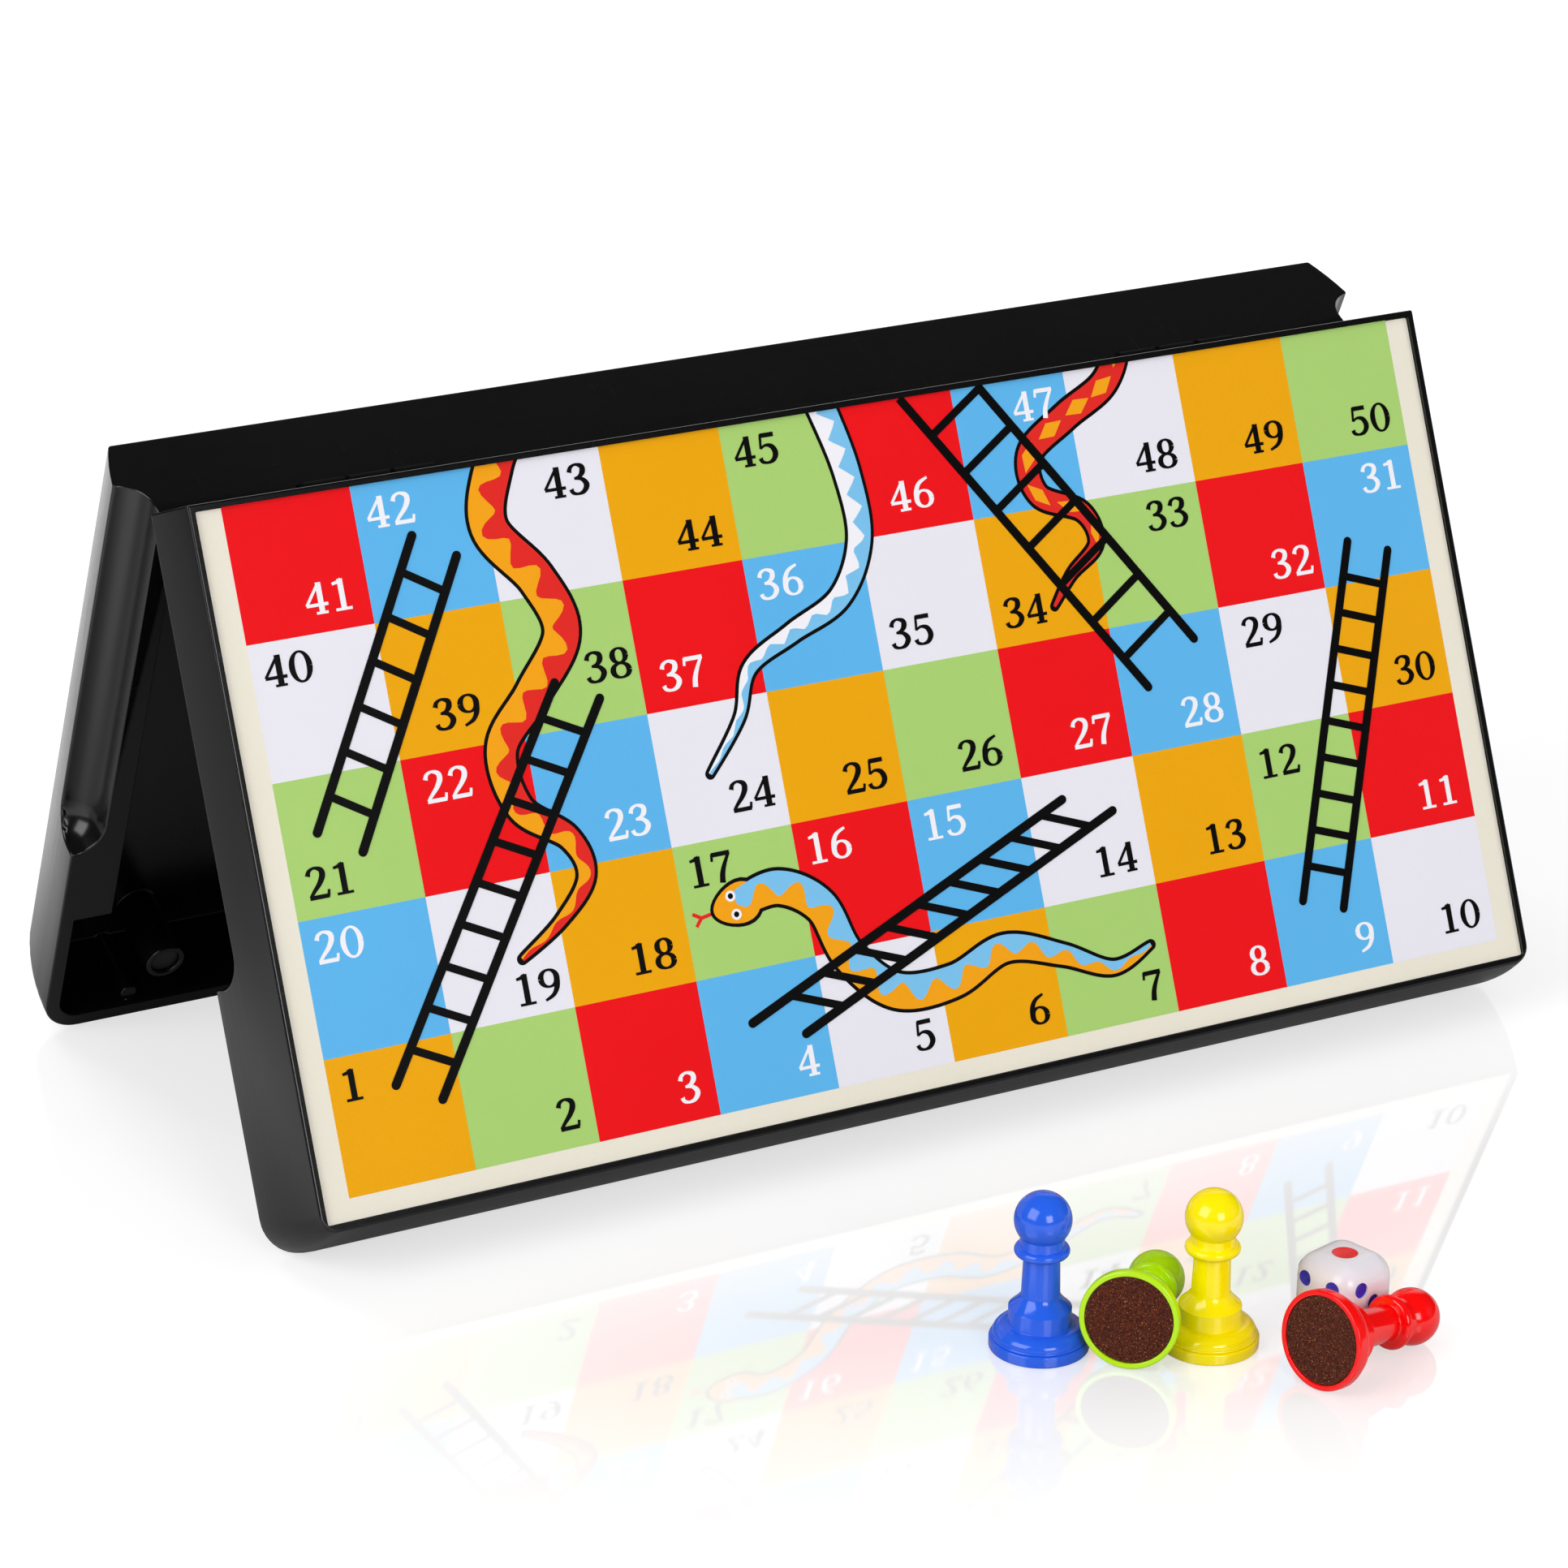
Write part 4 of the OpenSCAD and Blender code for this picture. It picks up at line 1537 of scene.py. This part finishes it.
def hand_over(piece: bpy.types.Object, body: str, slot: str, *nodes: str) -> None:
    """Lets a finished piece ride on a body, in the place of its CAD nodes.

    Args:
        piece: The piece.
        body: The body that it moves with.
        slot: A material slot's name, not used.
        *nodes: The nodes that it stands for.
    """
    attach(piece, body)
    if nodes:
        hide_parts(*nodes)
    LOG.info("piece %s: %d faces", piece.name, len(piece.data.polygons))


@dataclass
class HalfShell:
    """Moulded half tray with softly rounded edges."""

    half: Half
    layout: BoardLayout
    axis_height: float
    edge: float = 0.3 * MM
    hinge_room: float = 1.9 * MM
    recess_room: float = 0.3 * MM
    weld: float = 2e-6
    flat_deg: float = 0.6
    sharp_deg: float = 35.0

    def in_recess(self, bm: bmesh.types.BMesh) -> set[bmesh.types.BMVert]:
        """Finds the corners of the recess that holds the print, which keeps its crisp edges."""
        flat = self.layout.matrix(self.half).inverted()
        corners = frame["nodes"][f"{self.half.value}_print_sheet"].data.vertices
        sheet = [flat @ vertex.co for vertex in corners]
        room = self.recess_room
        limits = [(min(p[k] for p in sheet) - room, max(p[k] for p in sheet) + room) for k in (0, 1)]
        floor = min(p.z for p in sheet) - 2 * room
        spots = {vertex: flat @ vertex.co for vertex in bm.verts}
        return {
            vertex
            for vertex, spot in spots.items()
            if spot.z > floor and all(low < spot[k] < high for k, (low, high) in enumerate(limits))
        }

    def build(self) -> None:
        """Copies the CAD shell, rounds its edges and stands in for it."""
        node = f"{self.half.value}_shell"
        bm = bmesh.new()
        bm.from_mesh(frame["nodes"][node].data)
        bmesh.ops.remove_doubles(bm, verts=bm.verts, dist=self.weld)
        bmesh.ops.dissolve_limit(
            bm, angle_limit=math.radians(self.flat_deg), verts=bm.verts, edges=bm.edges
        )
        weight = bm.edges.layers.float.new("bevel_weight_edge")
        recess = self.in_recess(bm)
        by_axis = {v for v in bm.verts if math.hypot(v.co.y, v.co.z - self.axis_height) < self.hinge_room}
        for edge in bm.edges:
            crisp = by_axis.issuperset(edge.verts) or recess.issuperset(edge.verts)
            if not crisp and edge.calc_face_angle(0.0) > math.radians(self.sharp_deg):
                edge[weight] = 1.0
        for face in bm.faces:
            face.material_index = int(by_axis.issuperset(face.verts))
        finishes = (SHELL_BLACK.material(), KNUCKLE_BLACK.material())
        piece = Meshes.piece(f"{self.half.value}_tray_shell", bm, *finishes)
        rounding = piece.modifiers.new("rounded_edges", "BEVEL")
        rounding.width = self.edge
        rounding.segments = 2
        rounding.limit_method = "WEIGHT"
        rounding.use_clamp_overlap = False
        Meshes.plain(piece)
        Meshes.smooth(piece, 40.0)
        level = piece.modifiers.new("flat_faces", "WEIGHTED_NORMAL")
        level.weight = 100
        level.keep_sharp = True
        Meshes.plain(piece)
        hand_over(piece, f"{self.half.value}_half", "shell_plastic", node)


class PawnColour(Enum):
    """The four pawns and their plastics."""

    BLUE = MouldedPlastic("pawn_blue_gloss", screen_colour(38, 96, 228), roughness=0.14, mottle=0.02)
    GREEN = MouldedPlastic("pawn_lime_gloss", screen_colour(182, 232, 6), roughness=0.14, mottle=0.02)
    YELLOW = MouldedPlastic("pawn_yellow_gloss", screen_colour(255, 233, 0), roughness=0.14, mottle=0.02)
    RED = MouldedPlastic("pawn_red_gloss", screen_colour(250, 7, 7), roughness=0.14, mottle=0.02)


@dataclass
class Pawn:
    """Turned pawn with a flanged foot, a domed base, a collar and a ball head, in millimetres."""

    colour: PawnColour
    foot_r: float = 6.59
    foot_h: float = 1.6
    foot_round: float = 0.3
    bead_r: float = 6.35
    dome_top: float = 3.4
    ring_r: float = 4.15
    ring_top: float = 5.9
    shoulder_top: float = 7.8
    stem_low_r: float = 2.55
    stem_top_r: float = 2.4
    collar_r: float = 3.65
    collar_z: float = 13.95
    collar_half: float = 0.65
    neck_r: float = 2.9
    head_r: float = 3.8
    head_z: float = 18.3
    pad_r: float = 5.8
    pad_sink: float = 0.15
    pad_t: float = 0.5
    magnet_r: float = 3.6
    magnet_h: float = 2.4
    pad_round: float = 0.18
    seat_gap: float = 0.05
    edge: float = 0.25
    bead: float = 0.2
    lip: float = 0.12
    cove: float = 0.15
    neck_cove: float = 0.3
    tuft: float = 0.13
    tuft_density: float = 11.0
    tuft_seed: int = 7
    turns: int = 96

    @property
    def name(self) -> str:
        """Name of the pawn's body in the frame."""
        return f"{self.colour.name.lower()}_pawn"

    def matrix(self) -> Matrix:
        """Place of the pawn, from its foot's middle along its axis, found from its pad and its magnet."""
        middles = []
        for node in ("pad", "magnet"):
            mesh = frame["nodes"][f"{self.name}_{node}"].data
            points = {tuple(round(c, 6) for c in vertex.co) for vertex in mesh.vertices}
            middles.append(sum((Vector(p) for p in points), Vector()) / len(points))
        axis = (middles[1] - middles[0]).normalized()
        foot = middles[0] - axis * (self.pad_sink + self.pad_t / 2) * MM
        return Matrix.Translation(foot) @ Vector((0, 0, 1)).rotation_difference(axis).to_matrix().to_4x4()

    def outline(self) -> list[Point]:
        """Outline of the body from the magnet's seat round the foot up to the top of the head."""
        seat = self.pad_sink + self.pad_t
        edge, bead, lip, cove, neck_cove = self.edge, self.bead, self.lip, self.cove, self.neck_cove
        bead_mid = self.bead_r - bead
        dome_low = self.foot_h + 2 * bead
        dome_in = self.ring_r + edge
        collar_low = self.collar_z - self.collar_half
        chin = -math.degrees(math.acos(self.neck_r / self.head_r))
        magnet_r = self.magnet_r + self.seat_gap
        pad_r = self.pad_r + self.seat_gap
        shares = [k / 12 for k in range(13)]
        dome = [
            (
                dome_in + (bead_mid - dome_in) * math.cos(t * math.pi / 2),
                dome_low + (self.dome_top - dome_low) * math.sin(t * math.pi / 2),
            )
            for t in shares[1:]
        ]
        shoulder = [
            (
                self.stem_low_r + (self.ring_r - edge / 2 - self.stem_low_r) * (1 - t) ** 1.45,
                self.ring_top + (self.shoulder_top - self.ring_top) * t,
            )
            for t in shares
        ]
        return [
            (0, seat + self.magnet_h),
            (magnet_r, seat + self.magnet_h),
            (magnet_r, seat),
            (pad_r, seat),
            (pad_r, lip),
            *arc((pad_r + lip, lip), lip, 180, 270, 3),
            *arc((self.foot_r - edge, edge), edge, -90, 0, 6),
            *arc((self.foot_r - self.foot_round, self.foot_h - self.foot_round), self.foot_round, 0, 90, 8),
            *arc((bead_mid, self.foot_h + bead), bead, -80, 90, 10),
            *dome,
            *arc((self.ring_r + cove, self.dome_top + cove), cove, -90, -180, 3),
            (self.ring_r, self.ring_top - edge / 2),
            *shoulder,
            (self.stem_top_r + 0.01, collar_low - 2 * neck_cove),
            *arc((self.stem_top_r + neck_cove, collar_low - neck_cove), neck_cove, 180, 100, 5),
            *arc((self.collar_r - self.collar_half, self.collar_z), self.collar_half, -88, 88, 16),
            *arc((self.neck_r + cove, self.collar_z + self.collar_half + cove), cove, -95, -180, 4),
            *arc((0, self.head_z), self.head_r, chin + 1, 88, 30),
            (0, self.head_z + self.head_r),
        ]

    def build(self) -> None:
        """Builds the body and the pad and finishes the magnet between them."""
        place = self.matrix() @ Matrix.Scale(MM, 4)
        body = Meshes.lathe(f"{self.name}_turned", self.outline(), self.turns, self.colour.value.material())
        body.data.transform(place)
        Meshes.smooth(body, 32.0)
        soft, low = self.pad_round, self.pad_sink
        top = low + self.pad_t
        felt = Meshes.lathe(
            f"{self.name}_flocked_pad",
            [(0, top), (self.pad_r, top), *arc((self.pad_r - soft, low + soft), soft, 0, -90, 5), (0, low)],
            64,
            FLOCK.material(),
        )
        values = {
            "Facing": (0.0, 0.0, -1.0),
            "Density": self.tuft_density,
            "Tuft": self.tuft,
            "Seed": self.tuft_seed,
            "Colour": FLOCK.material(),
        }
        Meshes.grow(felt, PrintTrees.flock(), values)
        felt.data.transform(place)
        Meshes.smooth(felt, 50.0)
        dress_node(f"{self.name}_magnet", FERRITE.material())
        hand_over(body, self.name, f"pawn_{self.colour.name.lower()}", f"{self.name}_body")
        hand_over(felt, self.name, "pawn_pad", f"{self.name}_pad")


@dataclass
class Die:
    """Rounded die with sunk spots of enamel, in millimetres."""

    edge: float = 10.4
    round: float = 3.2
    one_r: float = 1.75
    pip_r: float = 1.05
    step: float = 2.3
    depth: float = 1.0
    sink: float = 0.12
    dish: float = 0.16
    side_drop: float = 0.12
    wall_gap: float = 0.02
    floor_gap: float = 0.03
    turn_deg: float = 15.0

    def matrix(self) -> Matrix:
        """Place of the die's middle, turned as it stands on the table."""
        low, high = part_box("die_body")
        turn = Matrix.Rotation(math.radians(self.turn_deg), 4, "Z")
        return Matrix.Translation((low + high) / 2) @ turn @ Matrix.Scale(MM, 4)

    def spots(self) -> list[tuple[int, Matrix]]:
        """Each spot's face count and its place, its own Z axis out of the face."""
        turns = {1: (0, 0), 2: (0, 90), 3: (90, 0), 4: (-90, 0), 5: (0, -90), 6: (180, 0)}
        corners = ((-1, 1), (1, -1), (1, 1), (-1, -1))
        places = []
        for count, (about_x, about_y) in turns.items():
            face = Matrix.Rotation(math.radians(about_y), 4, "Y")
            face @= Matrix.Rotation(math.radians(about_x), 4, "X")
            marks = list(corners[: count // 2 * 2]) if count < 6 else [*corners, (-1, 0), (1, 0)]
            if count % 2:
                marks.append((0, 0))
            for x, y in marks:
                spot = Matrix.Translation((x * self.step, y * self.step, self.edge / 2))
                places.append((count, face @ spot))
        return places

    def plug(self, bm: bmesh.types.BMesh, radius: float, outline: Sequence[Point], place: Matrix) -> None:
        """Adds a turned plug to a mesh.

        Args:
            bm: The mesh.
            radius: Scale of the outline's radii.
            outline: Radius share and height of each point.
            place: The plug's place.
        """
        plug = Meshes.lathe("plug", [(r * radius, z) for r, z in outline], 32)
        plug.data.transform(place)
        bm.from_mesh(plug.data)
        bpy.data.objects.remove(plug)

    def body(self) -> bpy.types.Object:
        """Builds the rounded cube with a recess for each spot."""
        bm = bmesh.new()
        bmesh.ops.create_cube(bm, size=self.edge)
        bmesh.ops.bevel(bm, geom=bm.edges[:], offset=self.round, segments=12, profile=0.5, affect="EDGES")
        cube = Meshes.piece("die_cube", bm, DIE_WHITE.material())
        cutters = bmesh.new()
        bore = [(0, -self.depth), (1, -self.depth), (1, 1), (0, 1)]
        for count, place in self.spots():
            self.plug(cutters, self.one_r if count == 1 else self.pip_r, bore, place)
        drill = Meshes.piece("die_drill", cutters, DIE_WHITE.material())
        cut = cube.modifiers.new("recesses", "BOOLEAN")
        cut.object = drill
        cut.operation = "DIFFERENCE"
        cut.solver = "EXACT"
        Meshes.plain(cube)
        bpy.data.objects.remove(drill)
        Meshes.smooth(cube, 30.0)
        return cube

    def enamel(self, name: str, counts: Sequence[int], finish: MouldedPlastic) -> bpy.types.Object:
        """Builds the dished enamel in the spots of some faces.

        Args:
            name: Name of the piece.
            counts: Faces by their number of spots.
            finish: The enamel.

        Returns:
            The piece.
        """
        bm = bmesh.new()
        floor = self.floor_gap - self.depth
        for count, place in self.spots():
            if count not in counts:
                continue
            rim = -self.sink - (0.0 if count == 1 else self.side_drop)
            dish = [(r, rim - self.dish * (1 - r * r)) for r in (1.0, 0.85, 0.65, 0.4, 0.2, 0.0)]
            radius = (self.one_r if count == 1 else self.pip_r) - self.wall_gap
            self.plug(bm, radius, [(0, floor), (1, floor), *dish], place)
        return Meshes.piece(name, bm, finish.material())

    def build(self) -> None:
        """Builds the die and its enamel spots."""
        place = self.matrix()
        parts = (
            (self.body(), "die_body", "die_white"),
            (self.enamel("die_red_spot", (1,), PIP_RED), "die_one_pip", "pip_red"),
            (self.enamel("die_blue_spots", (2, 3, 4, 5, 6), PIP_BLUE), "die_blue_pips", "pip_blue"),
        )
        for piece, node, slot in parts:
            piece.data.transform(place)
            if node != "die_body":
                Meshes.smooth(piece, 40.0)
            hand_over(piece, "die", slot, node)


@dataclass
class Hardware:
    """Steel sheets, hinge pins and closing magnets, which keep their CAD shapes."""

    sheets: tuple[str, ...] = ("front_steel_sheet", "back_steel_sheet")
    pins: tuple[str, ...] = ("left_hinge_pin", "right_hinge_pin")
    magnets: tuple[str, ...] = ("front_closing_magnets", "back_closing_magnets")

    def build(self) -> None:
        """Gives each piece its finish."""
        for names, finish in ((self.sheets, STEEL), (self.pins, PIN_STEEL), (self.magnets, FERRITE)):
            for name in names:
                dress_node(name, finish.material())


@dataclass(frozen=True)
class Softbox:
    """A square studio lamp."""

    name: str
    place: tuple[float, float, float]
    side: float
    power: float
    seen_in_gloss: bool = True

    def build(self, target: Vector) -> None:
        """Hangs the lamp and points it at the board."""
        lamp = bpy.data.lights.new(self.name, "AREA")
        lamp.shape = "SQUARE"
        lamp.size = self.side
        lamp.energy = self.power
        holder = bpy.data.objects.new(self.name, lamp)
        place = Vector(self.place)
        aim = (target - place).to_track_quat("-Z", "Y")
        holder.matrix_world = Matrix.Translation(place) @ aim.to_matrix().to_4x4()
        holder.visible_glossy = self.seen_in_gloss
        bpy.context.scene.collection.objects.link(holder)


@dataclass
class Studio:
    """White table, soft lamps, a plain room and the camera."""

    target: tuple[float, float, float] = (0.0, -0.04, 0.05)
    lamps: tuple[Softbox, ...] = (
        Softbox("left_softbox", (-0.9, -0.21, 0.64), 0.75, 7.2),
        Softbox("front_softbox", (-0.08, -1.06, 0.45), 0.45, 4.2),
        Softbox("right_fill", (0.9, -0.7, 0.4), 0.6, 3.6, seen_in_gloss=False),
        Softbox("back_softbox", (-0.2, 1.0, 1.0), 0.6, 5.0, seen_in_gloss=False),
    )
    table_colour: float = 0.45
    table_glow: float = 0.68
    white_reach: tuple[float, float] = (0.2, 0.55)
    mirror: float = 0.28
    mirror_reach: tuple[float, float] = (0.09, 0.18)
    mirror_front: tuple[float, float] = (-0.055, -0.1)
    # The next three set where reflections see the table's glow. They see none near the board and none in a
    # patch at the back left. This is painted shade in reflections.
    gloss_reach: tuple[float, float] = (0.1, 0.17)
    card_left: tuple[float, float] = (-0.11, -0.15)
    card_back: tuple[float, float] = (0.0, 0.07)
    ambient: float = 0.32
    room_dark: float = 0.03
    backdrop_way: tuple[float, float, float] = (0.449, 0.809, 0.38)
    backdrop_reach: tuple[float, float] = (0.86, 0.96)
    camera_place: tuple[float, float, float] = (-0.35132, -0.63352, 0.33271)
    camera_turn_deg: tuple[float, float, float] = (29.031, -22.315, 0.838)
    view_deg: float = 16.571

    def table(self) -> None:
        """Lays the white table, glossy enough to mirror the board faintly, with its glow kept out of
        reflections near the board and in a patch at the back left, which is painted shade.
        """
        bm = bmesh.new()
        bmesh.ops.create_grid(bm, x_segments=4, y_segments=4, size=4.0)
        material, surface = Surface.new("table_white")
        base = (self.table_colour,) * 3 + (1,)
        surface.set({"Base Color": base, "Roughness": 0.6, "Specular IOR Level": 0.1})
        rays = surface.add("ShaderNodeLightPath").outputs
        place = surface.add("ShaderNodeTexCoord").outputs["Object"]
        across, back, _ = surface.add("ShaderNodeSeparateXYZ", {0: place}).outputs
        away = surface.vector("LENGTH", place)
        # Painted shade in reflections: glossy rays see the table's glow only away from the board and outside
        # the patch at the back left, so the tray insides and the front half's left wall mirror dark.
        reflection_shade = surface.math(
            "MULTIPLY",
            surface.ramp(across, self.card_left, smooth=True),
            surface.ramp(back, self.card_back, smooth=True),
        )
        reflected_glow = surface.math("SUBTRACT", surface.ramp(away, self.gloss_reach, smooth=True), reflection_shade)
        mirrored = surface.math("MULTIPLY", rays["Is Glossy Ray"], surface.math("MAXIMUM", reflected_glow, 0.0))
        seen = surface.math("MAXIMUM", rays["Is Camera Ray"], rays["Is Transmission Ray"])
        seen = surface.math("MAXIMUM", seen, mirrored)
        level = surface.ramp(away, self.white_reach, self.table_glow, smooth=True)
        glow = surface.add("ShaderNodeEmission", {"Strength": surface.math("MULTIPLY", seen, level)})
        white = surface.add("ShaderNodeAddShader", {0: surface.shader.outputs[0], 1: glow.outputs[0]})
        near = surface.ramp(away, self.mirror_reach, self.mirror, self.mirror / 4, smooth=True)
        share = surface.math("MULTIPLY", near, surface.ramp(back, self.mirror_front, 0.25, smooth=True))
        polish = surface.add("ShaderNodeBsdfGlossy", {"Color": (1, 1, 1, 1), "Roughness": 0.04})
        both = surface.add("ShaderNodeMixShader", {0: share, 1: white.outputs[0], 2: polish.outputs[0]})
        output = next(node for node in surface.tree.nodes if node.type == "OUTPUT_MATERIAL")
        surface.tree.links.new(both.outputs[0], output.inputs["Surface"])
        Meshes.piece("table", bm, material)

    def room(self) -> None:
        """Makes the room: white to the camera, dim round the front, with a white backdrop behind."""
        world = bpy.data.worlds.new("plain_room")
        bpy.context.scene.world = world
        world.use_nodes = True
        kit = NodeKit(world.node_tree)
        kit.tree.nodes.clear()
        rays = kit.add("ShaderNodeLightPath").outputs
        way = kit.add("ShaderNodeTexCoord").outputs["Generated"]
        towards = kit.vector("DOT_PRODUCT", way, tuple(Vector(self.backdrop_way).normalized()))
        backdrop = kit.ramp(towards, self.backdrop_reach, self.room_dark, smooth=True)
        feeds = {0: rays["Is Glossy Ray"], 2: self.ambient, 3: backdrop}
        mirrored = kit.add("ShaderNodeMix", feeds).outputs[0]
        seen = kit.math("MAXIMUM", rays["Is Camera Ray"], rays["Is Transmission Ray"])
        level = kit.add("ShaderNodeMix", {0: seen, 2: mirrored, 3: 1.0}).outputs[0]
        light = kit.add("ShaderNodeBackground", {"Color": (1, 1, 1, 1), "Strength": level})
        kit.add("ShaderNodeOutputWorld", {"Surface": light.outputs[0]})

    def camera(self) -> None:
        """Sets the camera at the photograph's viewing angle."""
        lens = bpy.data.cameras.new("view")
        lens.sensor_width = 36.0
        lens.lens = lens.sensor_width / 2 / math.tan(math.radians(self.view_deg) / 2)
        lens.clip_start = 0.01
        camera = bpy.data.objects.new("view", lens)
        heading, tilt, roll = (math.radians(angle) for angle in self.camera_turn_deg)
        turn = Matrix.Rotation(-heading, 4, "Z") @ Matrix.Rotation(math.pi / 2 + tilt, 4, "X")
        camera.matrix_world = Matrix.Translation(self.camera_place) @ turn @ Matrix.Rotation(roll, 4, "Z")
        bpy.context.scene.collection.objects.link(camera)
        bpy.context.scene.camera = camera

    def build(self) -> None:
        """Sets up the whole studio."""
        self.camera()
        self.table()
        self.room()
        for lamp in self.lamps:
            lamp.build(Vector(self.target))
        bpy.context.scene.view_settings.view_transform = "Standard"


def main() -> None:
    """Builds every piece and sets up the studio."""
    layout = BoardLayout()
    fold = next(joint for joint in frame["joints"] if joint["name"] == "fold")
    ink = 0.06 * MM
    height = PrintedFace.number_height
    figures = {
        False: DigitFont(0.038, 0.1).glyphs("dark_figure", height, 0.0, ink),
        True: DigitFont(0.038, 0.09).glyphs("light_figure", height, 0.0, ink),
    }
    for half in Half:
        HalfShell(half, layout, fold["pos_m"][2]).build()
        PrintedFace(half, layout, figures).build()
    for collection in figures.values():
        for glyph in list(collection.objects):
            bpy.data.objects.remove(glyph)
        bpy.data.collections.remove(collection)
    Hardware().build()
    for colour in PawnColour:
        Pawn(colour).build()
    Die().build()
    Studio().build()


if __name__ == "__main__":
    main()
